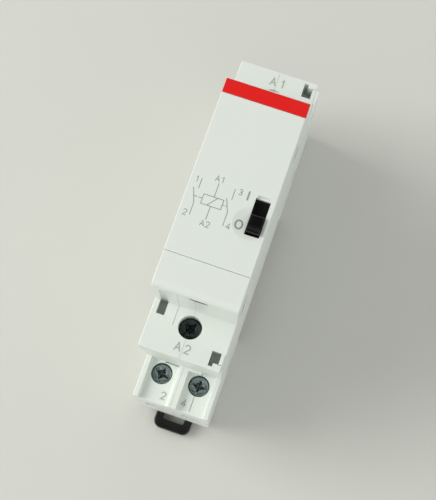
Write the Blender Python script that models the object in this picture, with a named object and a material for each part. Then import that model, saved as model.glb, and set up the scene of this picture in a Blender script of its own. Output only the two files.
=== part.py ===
"""Modular DIN rail contactor, one 17.5 mm module, two normally open poles.

The device lies on its back. +Z points out of the front, +Y points to the
coil terminal A1, +X runs across the width. The origin is the centre of the
face that rests on the front of the 35 mm mounting rail.
"""
import math

import bmesh
import bpy
from mathutils import Matrix, Vector

MM = 0.001

# ---- envelope of the module -------------------------------------------------
GAP = 0.3 * MM                       # running gap kept between separate pieces
HALF_WIDTH = 8.75 * MM               # body, half of 17.5 mm
NOSE_HALF_WIDTH = 8.8 * MM
WALL = 1.2 * MM
NOSE_HALF = 22.46 * MM               # 45 mm nose, along Y
SHOULDER_HALF = 32.65 * MM
SHOULDER_WALL = 31.5 * MM            # wall below the shoulder's overhanging lip
BODY_HALF = 40.98 * MM               # 82 mm body, along Y
FRONT_Z = 59.5 * MM
SHOULDER_Z = 46.05 * MM
LIP_Z = 40.0 * MM
RIB_Z = 23.7 * MM
TRAY_Z = 21.9 * MM
BACK_Z = -2.6 * MM
REST_Z = -5.5 * MM                   # feet, the lowest plane
RAIL_HALF = 17.8 * MM                # half of the 35 mm rail with its clearance
RAIL_HOLD_Z = -1.3 * MM              # underside of the rail's 1 mm flange, with clearance

# ---- hollow of the shells ---------------------------------------------------
INNER_X = HALF_WIDTH - WALL
PART_X = 0.15 * MM                   # each shell ends this far from the middle plane
WORKS_HALF = 21.3 * MM               # pocket of the coil and the contacts, along Y
TERMINAL_IN = 22.3 * MM              # inner end of the terminal pockets
FLOOR_Z = 1.2 * MM
SHOULDER_POCKET_OUT = SHOULDER_WALL - WALL
LOWER_POCKET_OUT = 39.8 * MM
LOWER_POCKET_TOP = TRAY_Z - 1.3 * MM

# ---- terminals: name, x, y, z of the top of the screw's head ------------------
POLE_X = 4.4 * MM
POLE_Y = 34.3 * MM
COIL_Y = 26.0 * MM
POLE_HEAD_Z = 20.9 * MM
COIL_HEAD_Z = 42.0 * MM
TERMINALS = {
    "1": (-POLE_X, POLE_Y, POLE_HEAD_Z),
    "2": (-POLE_X, -POLE_Y, POLE_HEAD_Z),
    "3": (POLE_X, POLE_Y, POLE_HEAD_Z),
    "4": (POLE_X, -POLE_Y, POLE_HEAD_Z),
    "A1": (0.0, COIL_Y, COIL_HEAD_Z),
    "A2": (0.0, -COIL_Y, COIL_HEAD_Z),
}
HEAD_R = 2.0 * MM
HEAD_H = 1.7 * MM
SHANK_R = 1.5 * MM
POLE_HOLE_R = 2.3 * MM
COIL_HOLE_R = 2.35 * MM
CAGE_HALF_X = 2.8 * MM
CAGE_HALF_Y = 2.6 * MM
CAGE_SIDE = 0.6 * MM
CAGE_BAR = 1.4 * MM
WIRE_ROOM = 4.7 * MM                 # free height under the tongue, clamp open
TONGUE_T = 0.8 * MM
TONGUE_BELOW_HEAD = 7.0 * MM         # head's top to the tongue's top
CAGE_INNER_X = CAGE_HALF_X - CAGE_SIDE

# ---- contact mechanism --------------------------------------------------------
SLIDE_TRAVEL = 3.3 * MM
PUSH_Z = 52.6 * MM                   # height at which the carriage drives its followers
CARRIAGE_Z = (51.0 * MM, 54.2 * MM)
ARMATURE_PIVOT = Vector((0.0, -8.9 * MM, 27.6 * MM))
ARMATURE_ANGLE = SLIDE_TRAVEL / (PUSH_Z - ARMATURE_PIVOT.z)
ARM_HALF_X = 0.8 * MM
ARM_T = 1.2 * MM
BLADE_PIVOT_Y = -2.0 * MM
BLADE_PIVOT_Z = 32.3 * MM
BLADE_X = 4.75 * MM
BLADE_HALF_X = 1.4 * MM
BLADE_T = 0.4 * MM
CONTACT_Z = 47.0 * MM
CONTACT_R = 1.2 * MM
FIXED_FACE_Y = 2.0 * MM
BAR_X = (3.2 * MM, 6.3 * MM)         # distance of the pole busbars from the middle
BAR_T = 0.8 * MM

# ---- manual slider ------------------------------------------------------------
SLOT_X = (4.72 * MM, 7.78 * MM)
SLOT_Y = (-7.4 * MM, 0.3 * MM)
THUMB_Y = (-7.0 * MM, -3.3 * MM)
COVER_INNER_X = 7.85 * MM
COVER_CEILING = 58.2 * MM
SEAM_Y = -15.24 * MM                 # joint between the front cover and its foot
BAND_Y = 19.05 * MM                  # inner edge of the header strip

# ---- rail latch ---------------------------------------------------------------
LATCH_HALF_X = 4.6 * MM
LATCH_Z = (-5.2 * MM, -3.0 * MM)
LATCH_OUT = 44.7 * MM
LATCH_NOSE = 15.4 * MM
LATCH_FLANGE_X = 5.6 * MM

# ---- coil ---------------------------------------------------------------------
CORE_R = 2.1 * MM
BOBBIN_BORE_R = CORE_R + GAP
BOBBIN_TUBE_R = 3.1 * MM
BOBBIN_Z = (3.2 * MM, 25.2 * MM)
FLANGE_T = 1.2 * MM
FLANGE_HALF = 6.8 * MM
WINDING_R = 6.3 * MM
YOKE_T = 1.4 * MM
YOKE_HALF_X = 5.0 * MM
YOKE_BACK_Y = -9.6 * MM
YOKE_BASE_Z = FLOOR_Z + GAP
SPRING_Y = 8.5 * MM
SPRING_R = 1.1 * MM
SPRING_Z = (22.4 * MM, 28.7 * MM)

# ---- rivets that hold the shells together ---------------------------------------
RIVET_YZ = [(-25.5 * MM, 4.0 * MM), (25.5 * MM, 4.0 * MM), (-17.5 * MM, 42.5 * MM), (17.5 * MM, 42.5 * MM)]
RIVET_R = 1.2 * MM
RIVET_HEAD_R = 1.9 * MM
RIVET_HEAD_T = 0.6 * MM
BOSS_R = 2.4 * MM
COUNTERBORE = 0.95 * MM


# ---- scene and materials ----------------------------------------------------------
def clear_scene():
    for obj in list(bpy.data.objects):
        bpy.data.objects.remove(obj, do_unlink=True)


def material(name, colour, roughness, metallic=0.0):
    """A Principled material, made once for each name."""
    found = bpy.data.materials.get(name)
    if found:
        return found
    made = bpy.data.materials.new(name)
    made.use_nodes = True
    shader = made.node_tree.nodes["Principled BSDF"]
    shader.inputs["Base Color"].default_value = (*colour, 1.0)
    shader.inputs["Roughness"].default_value = roughness
    shader.inputs["Metallic"].default_value = metallic
    return made


def white_plastic():
    return material("housing_white", (0.78, 0.81, 0.79), 0.45)


def red_plastic():
    return material("header_red", (0.84, 0.012, 0.01), 0.4)


def black_plastic():
    return material("moving_black", (0.012, 0.012, 0.013), 0.4)


def insulator_plastic():
    return material("insulator_grey", (0.45, 0.47, 0.48), 0.5)


def zinc_steel():
    return material("zinc_steel", (0.55, 0.6, 0.62), 0.3, 1.0)


def soft_iron():
    return material("soft_iron", (0.42, 0.42, 0.43), 0.4, 1.0)


def brass():
    return material("brass", (0.78, 0.57, 0.25), 0.3, 1.0)


def copper_wire():
    return material("enamelled_copper", (0.62, 0.22, 0.08), 0.35, 1.0)


def contact_silver():
    return material("contact_silver", (0.86, 0.86, 0.84), 0.25, 1.0)


def board_green():
    return material("board_green", (0.03, 0.16, 0.07), 0.45)


# ---- mesh helpers -----------------------------------------------------------------
def finish_object(name, bm, mat, smooth=False):
    """Turns a bmesh into an object of the scene, faces outward."""
    bmesh.ops.recalc_face_normals(bm, faces=bm.faces)
    mesh = bpy.data.meshes.new(name)
    bm.to_mesh(mesh)
    bm.free()
    if mat:
        mesh.materials.append(mat)
    if smooth:
        mesh.shade_smooth()
        mesh.set_sharp_from_angle(angle=math.radians(40))
    obj = bpy.data.objects.new(name, mesh)
    bpy.context.scene.collection.objects.link(obj)
    return obj


def add_box(bm, x, y, z):
    """Adds a box given its low and high value on each axis."""
    low = Vector((min(x), min(y), min(z)))
    high = Vector((max(x), max(y), max(z)))
    shape = Matrix.Translation((low + high) / 2) @ Matrix.Diagonal((*(high - low), 1.0))
    bmesh.ops.create_cube(bm, size=1.0, matrix=shape)


def box(name, x, y, z, mat=None):
    bm = bmesh.new()
    add_box(bm, x, y, z)
    return finish_object(name, bm, mat)


def add_rod(bm, start, end, radius, segments=24):
    """Adds a cylinder between two points."""
    start = Vector(start)
    run = Vector(end) - start
    turn = Vector((0, 0, 1)).rotation_difference(run).to_matrix().to_4x4()
    shape = Matrix.Translation(start + run / 2) @ turn
    bmesh.ops.create_cone(bm, cap_ends=True, segments=segments, radius1=radius, radius2=radius,
                          depth=run.length, matrix=shape)


def rod(name, start, end, radius, mat=None, segments=24):
    bm = bmesh.new()
    add_rod(bm, start, end, radius, segments)
    return finish_object(name, bm, mat, smooth=True)


def add_prism_x(bm, outline, x):
    """Adds the outline, points of (y, z), extruded between two x values."""
    face = bm.faces.new([bm.verts.new((min(x), y, z)) for y, z in outline])
    grown = bmesh.ops.extrude_face_region(bm, geom=[face])
    moved = [item for item in grown["geom"] if isinstance(item, bmesh.types.BMVert)]
    bmesh.ops.translate(bm, verts=moved, vec=(max(x) - min(x), 0, 0))


def prism_x(name, outline, x, mat=None):
    bm = bmesh.new()
    add_prism_x(bm, outline, x)
    return finish_object(name, bm, mat)


def strip_outline(path, thickness):
    """The outline of a bent strip of even thickness along a path of (y, z) points."""
    left = []
    right = []
    for index, here in enumerate(path):
        before = Vector(path[index - 1]) if index else None
        after = Vector(path[index + 1]) if index + 1 < len(path) else None
        here = Vector(here)
        came = (here - before).normalized() if before else (after - here).normalized()
        goes = (after - here).normalized() if after else came
        side = Vector((-came.y - goes.y, came.x + goes.x)).normalized()
        reach = thickness / 2 / side.dot(Vector((-came.y, came.x)))
        left.append(tuple(here + side * reach))
        right.append(tuple(here - side * reach))
    return left + right[::-1]


def turned(name, profile, centre, mat, segments=24):
    """Spins a closed profile of (radius, height) points about the Z axis through centre."""
    bm = bmesh.new()
    rings = []
    for radius, height in profile:
        ring = []
        for step in range(segments):
            angle = 2 * math.pi * step / segments
            ring.append(bm.verts.new((radius * math.cos(angle), radius * math.sin(angle), height)))
        rings.append(ring)
    for index, ring in enumerate(rings):
        following = rings[(index + 1) % len(rings)]
        for step in range(segments):
            after = (step + 1) % segments
            bm.faces.new((ring[step], ring[after], following[after], following[step]))
    bmesh.ops.translate(bm, verts=bm.verts, vec=centre)
    return finish_object(name, bm, mat, smooth=True)


def boolean(target, tool, operation):
    """Adds an exact Boolean modifier and hides its tool."""
    tool.hide_render = True
    tool.display_type = "WIRE"
    modifier = target.modifiers.new(tool.name, "BOOLEAN")
    modifier.operation = operation
    modifier.solver = "EXACT"
    modifier.object = tool


def cut(target, *tools):
    for tool in tools:
        boolean(target, tool, "DIFFERENCE")


def fuse(target, *tools):
    for tool in tools:
        boolean(target, tool, "UNION")


def origin_at(obj, point):
    """Puts the object's origin on its joint's axis, without moving its shape."""
    obj.data.transform(Matrix.Translation(-Vector(point)))
    obj.location = point
    for modifier in obj.modifiers:
        if modifier.type == "BOOLEAN" and not modifier.object.parent:
            modifier.object.parent = obj
            modifier.object.matrix_parent_inverse = Matrix.Translation(-Vector(point))
    return obj


def mirrored(span, side):
    """The x span on one side of the middle: side is -1 (left) or 1 (right)."""
    return (span[0] * side, span[1] * side)


# ---- housing shells -----------------------------------------------------------------
def body_outline():
    """Side profile of the body: shoulders, trays, back, rail seat, fixed hook and feet."""
    chamfer = 1.0 * MM
    foot_end = 38.2 * MM
    hook_tip = 15.3 * MM
    outer = [
        (NOSE_HALF + GAP, SHOULDER_Z - GAP), (NOSE_HALF + GAP, SHOULDER_Z),
        (SHOULDER_HALF, SHOULDER_Z), (SHOULDER_HALF, LIP_Z), (SHOULDER_WALL, LIP_Z),
        (SHOULDER_WALL, TRAY_Z), (BODY_HALF, TRAY_Z), (BODY_HALF, BACK_Z),
        (foot_end, BACK_Z), (foot_end - chamfer, REST_Z),
    ]
    hook = [(hook_tip + chamfer, REST_Z), (hook_tip, RAIL_HOLD_Z - chamfer), (hook_tip + 0.3 * MM, RAIL_HOLD_Z),
            (RAIL_HALF, RAIL_HOLD_Z), (RAIL_HALF, 0.0)]
    latch_side = [(-RAIL_HALF, 0.0), (-RAIL_HALF, REST_Z)]
    return outer + hook + latch_side + [(-y, z) for y, z in reversed(outer)]


def shell_pockets(side, tag):
    """Cutters for the hollow: works in the middle, coil and pole terminals at both ends."""
    inner = mirrored((-1 * MM, INNER_X), side)
    tools = [box(f"{tag}_works", inner, (-WORKS_HALF, WORKS_HALF), (FLOOR_Z, SHOULDER_Z + 1 * MM))]
    for end in (-1, 1):
        lower_y = (end * TERMINAL_IN, end * LOWER_POCKET_OUT)
        upper_y = (end * TERMINAL_IN, end * SHOULDER_POCKET_OUT)
        tools.append(box(f"{tag}_lower{end}", inner, lower_y, (FLOOR_Z, LOWER_POCKET_TOP)))
        tools.append(box(f"{tag}_upper{end}", inner, upper_y, (TRAY_Z, SHOULDER_Z - WALL)))
    return tools


def shell_windows(side, tag):
    """Cutters for wire entries, screw holes, busbar windows and the snap windows."""
    tools = []
    entry_x = mirrored((POLE_X - CAGE_INNER_X, POLE_X + CAGE_INNER_X), side)
    coil_x = (-CAGE_INNER_X, CAGE_INNER_X)
    bar_x = mirrored((BAR_X[0] - GAP, BAR_X[1] + GAP), side)
    for end in (-1, 1):
        tongue_z = POLE_HEAD_Z - TONGUE_BELOW_HEAD
        coil_tongue_z = COIL_HEAD_Z - TONGUE_BELOW_HEAD
        wire_top = tongue_z - TONGUE_T - GAP
        coil_wire_top = coil_tongue_z - TONGUE_T - GAP
        wall_y = (end * (WORKS_HALF - GAP), end * (TERMINAL_IN + GAP))
        tools += [
            box(f"{tag}_entry{end}", entry_x, (end * 39 * MM, end * 42 * MM), (wire_top - WIRE_ROOM + GAP, wire_top)),
            box(f"{tag}_coil_entry{end}", coil_x, (end * 30 * MM, end * 33.5 * MM),
                (coil_wire_top - WIRE_ROOM + GAP, coil_wire_top)),
            box(f"{tag}_bar{end}", bar_x, wall_y, (tongue_z - TONGUE_T - GAP, tongue_z + GAP)),
            box(f"{tag}_coil_bar{end}", coil_x, wall_y, (coil_tongue_z - TONGUE_T - GAP, coil_tongue_z + GAP)),
            rod(f"{tag}_hole{end}", (side * POLE_X, end * POLE_Y, LOWER_POCKET_TOP - GAP),
                (side * POLE_X, end * POLE_Y, TRAY_Z + GAP), POLE_HOLE_R),
            rod(f"{tag}_coil_hole{end}", (0, end * COIL_Y, SHOULDER_Z - WALL - GAP),
                (0, end * COIL_Y, SHOULDER_Z + GAP), COIL_HOLE_R),
        ]
        if side < 0:
            snap_x, snap_y = (-7.62 * MM, -5.84 * MM), (end * 22.0 * MM, end * 25.35 * MM)
        else:
            snap_x, snap_y = (5.8 * MM, 7.8 * MM), (end * 28.9 * MM, end * 32.0 * MM)
        tools.append(box(f"{tag}_snap{end}", snap_x, snap_y, (SHOULDER_Z - 3.5 * MM, SHOULDER_Z + GAP)))
    return tools


def shell_ribs(side, tag):
    """Raised ribs on the terminal trays: one at the side and its half of the middle one."""
    middle = (-1.4 * MM, -PART_X) if side < 0 else (PART_X, 0.9 * MM)
    outer = mirrored((7.3 * MM, HALF_WIDTH), side)
    ribs = []
    for end in (-1, 1):
        rib_y = (end * (SHOULDER_WALL - 0.5 * MM), end * BODY_HALF)
        for label, rib_x in (("middle", middle), ("outer", outer)):
            ribs.append(box(f"{tag}_{label}_rib{end}", rib_x, rib_y, (TRAY_Z - 1 * MM, RIB_Z)))
    return ribs


def latch_channel(side, tag):
    """Cutters for the channel that the rail latch slides in, with its guide groove."""
    past_end = -42 * MM
    top = LATCH_Z[1] + GAP
    groove_z = (-4.4 * MM, top)
    return [
        box(f"{tag}_channel", mirrored((-1 * MM, LATCH_HALF_X + GAP), side), (past_end, -17 * MM),
            (REST_Z - 1 * MM, top)),
        box(f"{tag}_groove", mirrored((3 * MM, LATCH_FLANGE_X + GAP), side), (past_end, -19.5 * MM), groove_z),
        box(f"{tag}_nose_room", mirrored((-1 * MM, LATCH_HALF_X + GAP), side), (-21.8 * MM, -17 * MM),
            (REST_Z - 1 * MM, RAIL_HOLD_Z + GAP)),
    ]


def housing_shell(name, side):
    """One half of the body. The left half carries a lap tab across the rail seat."""
    span = mirrored((PART_X, HALF_WIDTH), side)
    shell = prism_x(name, body_outline(), span, white_plastic())
    fuse(shell, *shell_ribs(side, name))
    cut(shell, *shell_pockets(side, name))
    for index, (y, z) in enumerate(RIVET_YZ):
        fuse(shell, rod(f"{name}_boss{index}", (side * PART_X, y, z), (side * (INNER_X + 0.5 * MM), y, z), BOSS_R))
    for index, (y, z) in enumerate(RIVET_YZ):
        far = side * (HALF_WIDTH + 1 * MM)
        bore_floor = side * (HALF_WIDTH - COUNTERBORE)
        cut(shell, rod(f"{name}_rivet{index}", (-side * MM, y, z), (far, y, z), RIVET_R + GAP),
            rod(f"{name}_bore{index}", (bore_floor, y, z), (far, y, z), RIVET_HEAD_R + GAP))
    cut(shell, *shell_windows(side, name))
    cut(shell, *latch_channel(side, name))
    tab_x, tab_half = 2.4 * MM, 6.0 * MM
    if side < 0:
        fuse(shell, box(f"{name}_tab", (-1 * MM, tab_x), (-tab_half, tab_half), (0.0, FLOOR_Z)))
    else:
        cut(shell, box(f"{name}_tab", (-1 * MM, tab_x + GAP), (-tab_half - GAP, tab_half + GAP),
                       (-1 * MM, FLOOR_Z + 1 * MM)))
    return shell


def shell_rivets():
    """Four rivets through the bosses, heads sunk in the sides."""
    head_out = HALF_WIDTH - COUNTERBORE + GAP + RIVET_HEAD_T
    profile = [(0.0, -head_out), (RIVET_HEAD_R, -head_out), (RIVET_HEAD_R, RIVET_HEAD_T - head_out),
               (RIVET_R, RIVET_HEAD_T - head_out), (RIVET_R, head_out - RIVET_HEAD_T),
               (RIVET_HEAD_R, head_out - RIVET_HEAD_T), (RIVET_HEAD_R, head_out), (0.0, head_out)]
    for index, (y, z) in enumerate(RIVET_YZ):
        spun(f"shell_rivet_{index + 1}", [(x, y + radius, z) for radius, x in profile], (0, y, z), (1, 0, 0),
             zinc_steel(), steps=20)


def spun(name, edge_points, centre, axis, mat, steps):
    """Turns an open profile that starts and ends on the axis into a closed round body."""
    bm = bmesh.new()
    edge = [bm.verts.new(point) for point in edge_points]
    edges = [bm.edges.new(pair) for pair in zip(edge, edge[1:])]
    bmesh.ops.spin(bm, geom=edge + edges, cent=centre, axis=axis, angle=2 * math.pi, steps=steps, use_merge=True)
    bmesh.ops.remove_doubles(bm, verts=bm.verts, dist=0.000005)
    return finish_object(name, bm, mat, smooth=True)


def pole_barrier(name, end):
    """Insulating plate between the two pole terminals of one end."""
    return box(name, (-0.4 * MM, 0.4 * MM), (end * 28.4 * MM, end * (LOWER_POCKET_OUT - GAP)),
               (FLOOR_Z + GAP, LOWER_POCKET_TOP - GAP), insulator_plastic())


# ---- front cover --------------------------------------------------------------------
COVER_END_WALL = 1.06 * MM
LEG_ROOT_Z = (47 * MM, 50 * MM)
END_LEG_X = (-3 * MM, 3 * MM)
END_LEG_Y = (20.2 * MM, 21 * MM)
END_LEG_Z = (41 * MM, 49 * MM)
SIDE_LEG_Y = (9.5 * MM, 12 * MM)
HEADER_T = 0.5 * MM
HEADER_SEAT = 0.8 * MM


def front_cover():
    """Nose of the device: a hood with the slider's slot and a seat for the header strip."""
    low_y = SEAM_Y + GAP / 2
    seat_z = FRONT_Z - HEADER_SEAT
    outline = [(low_y, SHOULDER_Z), (low_y, FRONT_Z), (BAND_Y - GAP, FRONT_Z), (BAND_Y - GAP, seat_z),
               (NOSE_HALF, seat_z), (NOSE_HALF, SHOULDER_Z)]
    cover = prism_x("front_cover", outline, (-NOSE_HALF_WIDTH, NOSE_HALF_WIDTH), white_plastic())
    cut(cover, box("cover_hollow", (-COVER_INNER_X, COVER_INNER_X), (SEAM_Y - 1 * MM, NOSE_HALF - COVER_END_WALL),
                   (SHOULDER_Z - 1 * MM, COVER_CEILING - 0.6 * MM)))
    cut(cover, box("cover_slide_room", (-COVER_INNER_X, COVER_INNER_X), (SEAM_Y - 1 * MM, 8 * MM),
                   (SHOULDER_Z, COVER_CEILING)))
    cut(cover, box("cover_slot", SLOT_X, SLOT_Y, (COVER_CEILING - 1 * MM, FRONT_Z + 1 * MM)))
    for side in (-1, 1):
        fuse(cover, box(f"cover_leg_root{side}", mirrored((6.4 * MM, 8.2 * MM), side), SIDE_LEG_Y,
                        LEG_ROOT_Z))
        fuse(cover, box(f"cover_leg{side}", mirrored((6.4 * MM, 7.25 * MM), side), SIDE_LEG_Y,
                        (42 * MM, 49 * MM)))
    fuse(cover, box("cover_end_root", END_LEG_X, (END_LEG_Y[0], NOSE_HALF - COVER_END_WALL / 2), LEG_ROOT_Z))
    fuse(cover, box("cover_end_leg", END_LEG_X, END_LEG_Y, END_LEG_Z))
    return cover


def cover_foot():
    """Lower end cap of the nose, with a rounded front edge and a lift groove."""
    high_y = SEAM_Y - GAP / 2
    round_r = 1.5 * MM
    outline = [(high_y, SHOULDER_Z), (high_y, FRONT_Z)]
    for step in range(5):
        angle = math.pi / 2 * step / 4
        outline.append((-NOSE_HALF + round_r * (1 - math.sin(angle)), FRONT_Z - round_r * (1 - math.cos(angle))))
    outline.append((-NOSE_HALF, SHOULDER_Z))
    foot = prism_x("cover_foot", outline, (-NOSE_HALF_WIDTH, NOSE_HALF_WIDTH), white_plastic())
    cut(foot, box("foot_hollow", (-COVER_INNER_X, COVER_INNER_X), (SEAM_Y + 1 * MM, -NOSE_HALF + COVER_END_WALL),
                  (SHOULDER_Z - 1 * MM, COVER_CEILING)))
    root_y = (-END_LEG_Y[0], -NOSE_HALF + COVER_END_WALL / 2)
    fuse(foot, box("foot_end_root", END_LEG_X, root_y, LEG_ROOT_Z))
    fuse(foot, box("foot_end_leg", END_LEG_X, mirrored(END_LEG_Y, -1), END_LEG_Z))
    cut(foot, box("foot_groove", (-7.5 * MM, -5.9 * MM), (-NOSE_HALF - 1 * MM, -NOSE_HALF + 0.5 * MM),
                  (SHOULDER_Z - 1 * MM, 56 * MM)))
    return foot


def header_strip():
    """Coloured strip across the top end of the nose's front."""
    return box("header_strip", (-NOSE_HALF_WIDTH, NOSE_HALF_WIDTH), (BAND_Y, NOSE_HALF),
               (FRONT_Z - HEADER_T, FRONT_Z), red_plastic())


# ---- terminals ------------------------------------------------------------------------
def terminal_screw_mesh():
    """Pan head screw with a crossed recess, head's top at z 0, axis on Z."""
    length = TONGUE_BELOW_HEAD - GAP
    profile = [(0.0, -length), (SHANK_R, -length), (SHANK_R, -HEAD_H), (HEAD_R, -HEAD_H),
               (HEAD_R, -0.3 * MM), (HEAD_R - 0.3 * MM, 0.0), (0.0, 0.0)]
    screw = spun("screw_blank", [(radius, 0, height) for radius, height in profile], (0, 0, 0), (0, 0, 1),
                 zinc_steel(), steps=20)
    half, arm, depth = 0.35 * MM, 1.35 * MM, 0.9 * MM
    for index, (x, y) in enumerate(((arm, half), (half, arm))):
        cut(screw, box(f"screw_recess{index}", (-x, x), (-y, y), (-depth, 1 * MM)))
    return baked(screw)


def clamp_cage_mesh():
    """Lift clamp: a frame round the tongue and the wire, threaded for the screw in its top bar."""
    top = -TONGUE_BELOW_HEAD + GAP + CAGE_BAR
    under = -TONGUE_BELOW_HEAD - TONGUE_T - WIRE_ROOM - GAP
    cage = box("cage_blank", (-CAGE_HALF_X, CAGE_HALF_X), (-CAGE_HALF_Y, CAGE_HALF_Y),
               (under - CAGE_BAR, top), zinc_steel())
    cut(cage, box("cage_window", (-CAGE_INNER_X, CAGE_INNER_X), (-CAGE_HALF_Y - MM, CAGE_HALF_Y + MM),
                  (under, top - CAGE_BAR)))
    cut(cage, rod("cage_thread", (0, 0, top - CAGE_BAR - MM), (0, 0, top + MM), SHANK_R + GAP, segments=16))
    return baked(cage)


def baked(obj):
    """The evaluated mesh of an object with modifiers; the object and its tools are removed."""
    graph = bpy.context.evaluated_depsgraph_get()
    mesh = bpy.data.meshes.new_from_object(obj.evaluated_get(graph))
    tools = [modifier.object for modifier in obj.modifiers]
    for spent in [obj, *tools]:
        bpy.data.objects.remove(spent, do_unlink=True)
    return mesh


def terminals():
    """Six screws and six clamp cages, each an object with its origin on the screw's axis."""
    screw_mesh = terminal_screw_mesh()
    cage_mesh = clamp_cage_mesh()
    for label, place in TERMINALS.items():
        for name, mesh in ((f"terminal_screw_{label}", screw_mesh), (f"clamp_cage_{label}", cage_mesh)):
            obj = bpy.data.objects.new(name, mesh)
            obj.location = place
            bpy.context.scene.collection.objects.link(obj)


def coil_tongues():
    """Flat tongues of the coil terminals. The A2 tongue turns down to the rectifier board."""
    middle_z = COIL_HEAD_Z - TONGUE_BELOW_HEAD - TONGUE_T / 2
    outer = COIL_Y + 3.5 * MM
    board_y = -16.0 * MM
    width = (-1.9 * MM, 1.9 * MM)
    prism_x("coil_tongue_A1", strip_outline([(outer, middle_z), (18.0 * MM, middle_z)], TONGUE_T), width, brass())
    path = [(-outer, middle_z), (board_y, middle_z), (board_y, 28.9 * MM)]
    prism_x("coil_tongue_A2", strip_outline(path, TONGUE_T), width, brass())


def pole_busbars():
    """Busbars 1 and 3 rise to the fixed contacts, 2 and 4 to the roots of the moving blades."""
    tongue_z = POLE_HEAD_Z - TONGUE_BELOW_HEAD - TONGUE_T / 2
    outer = POLE_Y + 4.3 * MM
    rise = 19.9 * MM
    fixed_bar_y = FIXED_FACE_Y + 1.5 * MM
    fixed = [(outer, tongue_z), (rise, tongue_z), (rise, 38.4 * MM), (fixed_bar_y, 38.4 * MM),
             (fixed_bar_y, 49.5 * MM)]
    moving_bar_y = BLADE_PIVOT_Y - 1.1 * MM
    moving = [(-outer, tongue_z), (-rise, tongue_z), (-rise, 31.4 * MM), (moving_bar_y, 31.4 * MM),
              (moving_bar_y, 35.0 * MM)]
    for label, side, path in (("1", -1, fixed), ("3", 1, fixed), ("2", -1, moving), ("4", 1, moving)):
        bar = prism_x(f"busbar_{label}", strip_outline(path, BAR_T), mirrored(BAR_X, side), brass())
        if path is fixed:
            cut(bar, contact_hole(f"busbar_{label}_hole", side, fixed_bar_y))


def contact_hole(name, side, y):
    """Cutter for the hole that a contact rivet's shank passes through."""
    return rod(name, (side * BLADE_X, y - MM, CONTACT_Z), (side * BLADE_X, y + MM, CONTACT_Z), 0.8 * MM, segments=12)


# ---- contacts ---------------------------------------------------------------------------
def contact_rivet(name, side, face_y, toward, held):
    """Silver contact rivet. Its face is at face_y and looks along +Y or -Y; it grips a strip held thick."""
    face_t, tail_t = 0.8 * MM, 0.3 * MM
    reach = face_t + held + 2 * GAP
    shank_r, tail_r = 0.5 * MM, 1.1 * MM
    profile = [(0.0, 0.0), (CONTACT_R, 0.0), (CONTACT_R, -face_t), (shank_r, -face_t),
               (shank_r, -reach), (tail_r, -reach), (tail_r, -reach - tail_t), (0.0, -reach - tail_t)]
    centre = Vector((side * BLADE_X, face_y, CONTACT_Z))
    points = [centre + Vector((radius, toward * depth, 0)) for radius, depth in profile]
    return spun(name, points, centre, (0, 1, 0), contact_silver(), steps=16)


def moving_contacts():
    """Two spring blades, each pivoting at its root, with a contact rivet."""
    for label, side in (("2", -1), ("4", 1)):
        pivot = (side * BLADE_X, BLADE_PIVOT_Y, BLADE_PIVOT_Z)
        blade = box(f"contact_blade_{label}", mirrored((BLADE_X - BLADE_HALF_X, BLADE_X + BLADE_HALF_X), side),
                    (BLADE_PIVOT_Y - BLADE_T / 2, BLADE_PIVOT_Y + BLADE_T / 2),
                    (BLADE_PIVOT_Z - 0.3 * MM, CARRIAGE_Z[1] - 0.3 * MM), brass())
        cut(blade, contact_hole(f"blade_{label}_hole", side, BLADE_PIVOT_Y))
        origin_at(blade, pivot)
        front = BLADE_PIVOT_Y + BLADE_T / 2 + GAP + 0.8 * MM
        tip = contact_rivet(f"moving_contact_{label}", side, front, 1, BLADE_T)
        origin_at(tip, pivot)


def fixed_contacts():
    for label, side in (("1", -1), ("3", 1)):
        contact_rivet(f"fixed_contact_{label}", side, FIXED_FACE_Y, -1, BAR_T)


def contact_carriage():
    """Sliding frame that carries both blades and the armature's arm along with it."""
    carriage = box("contact_carriage", (-7.3 * MM, 7.3 * MM), (-14.6 * MM, 1.0 * MM), CARRIAGE_Z, insulator_plastic())
    past = (CARRIAGE_Z[0] - MM, CARRIAGE_Z[1] + MM)
    for side in (-1, 1):
        window_x = (BLADE_X - BLADE_HALF_X - GAP, BLADE_X + BLADE_HALF_X + GAP)
        cut(carriage, box(f"carriage_window{side}", mirrored(window_x, side),
                          (BLADE_PIVOT_Y - 0.75 * MM, BLADE_PIVOT_Y + 0.75 * MM), past))
    arm_y = ARMATURE_PIVOT.y - (PUSH_Z - ARMATURE_PIVOT.z) * math.sin(ARMATURE_ANGLE)
    cut(carriage, box("carriage_arm_slot", (-ARM_HALF_X - GAP, ARM_HALF_X + GAP), (arm_y - 1.15 * MM, arm_y + 1.15 * MM),
                      past))
    cut(carriage, box("carriage_leg_hole", (4.6 * MM, 6.6 * MM), (-8.7 * MM, -6.6 * MM), past))
    return origin_at(carriage, (0, 0, PUSH_Z))


def manual_slider():
    """Black thumb slide: a covering plate, the thumb with its dished top, and the drive leg."""
    plate_z = (56.6 * MM, COVER_CEILING - GAP)
    slider = box("manual_slider", (3.6 * MM, 7.5 * MM), (-11.6 * MM, 1.2 * MM), plate_z, black_plastic())
    thumb_top = FRONT_Z + 1.0 * MM
    low, high = THUMB_Y
    outline = [(low, plate_z[0] + 0.2 * MM), (low, thumb_top - 0.5 * MM), (low + 0.4 * MM, thumb_top),
               (high - 0.5 * MM, thumb_top - 0.2 * MM), (high, thumb_top - 0.7 * MM), (high, plate_z[0] + 0.2 * MM)]
    fuse(slider, prism_x("slider_thumb", outline, (SLOT_X[0] + 0.25 * MM, SLOT_X[1] - 0.28 * MM)))
    fuse(slider, box("slider_leg", (4.9 * MM, 6.3 * MM), (-8.4 * MM, -6.9 * MM), (51.6 * MM, plate_z[0] + 0.5 * MM)))
    return origin_at(slider, (0, 0, PUSH_Z))


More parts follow.
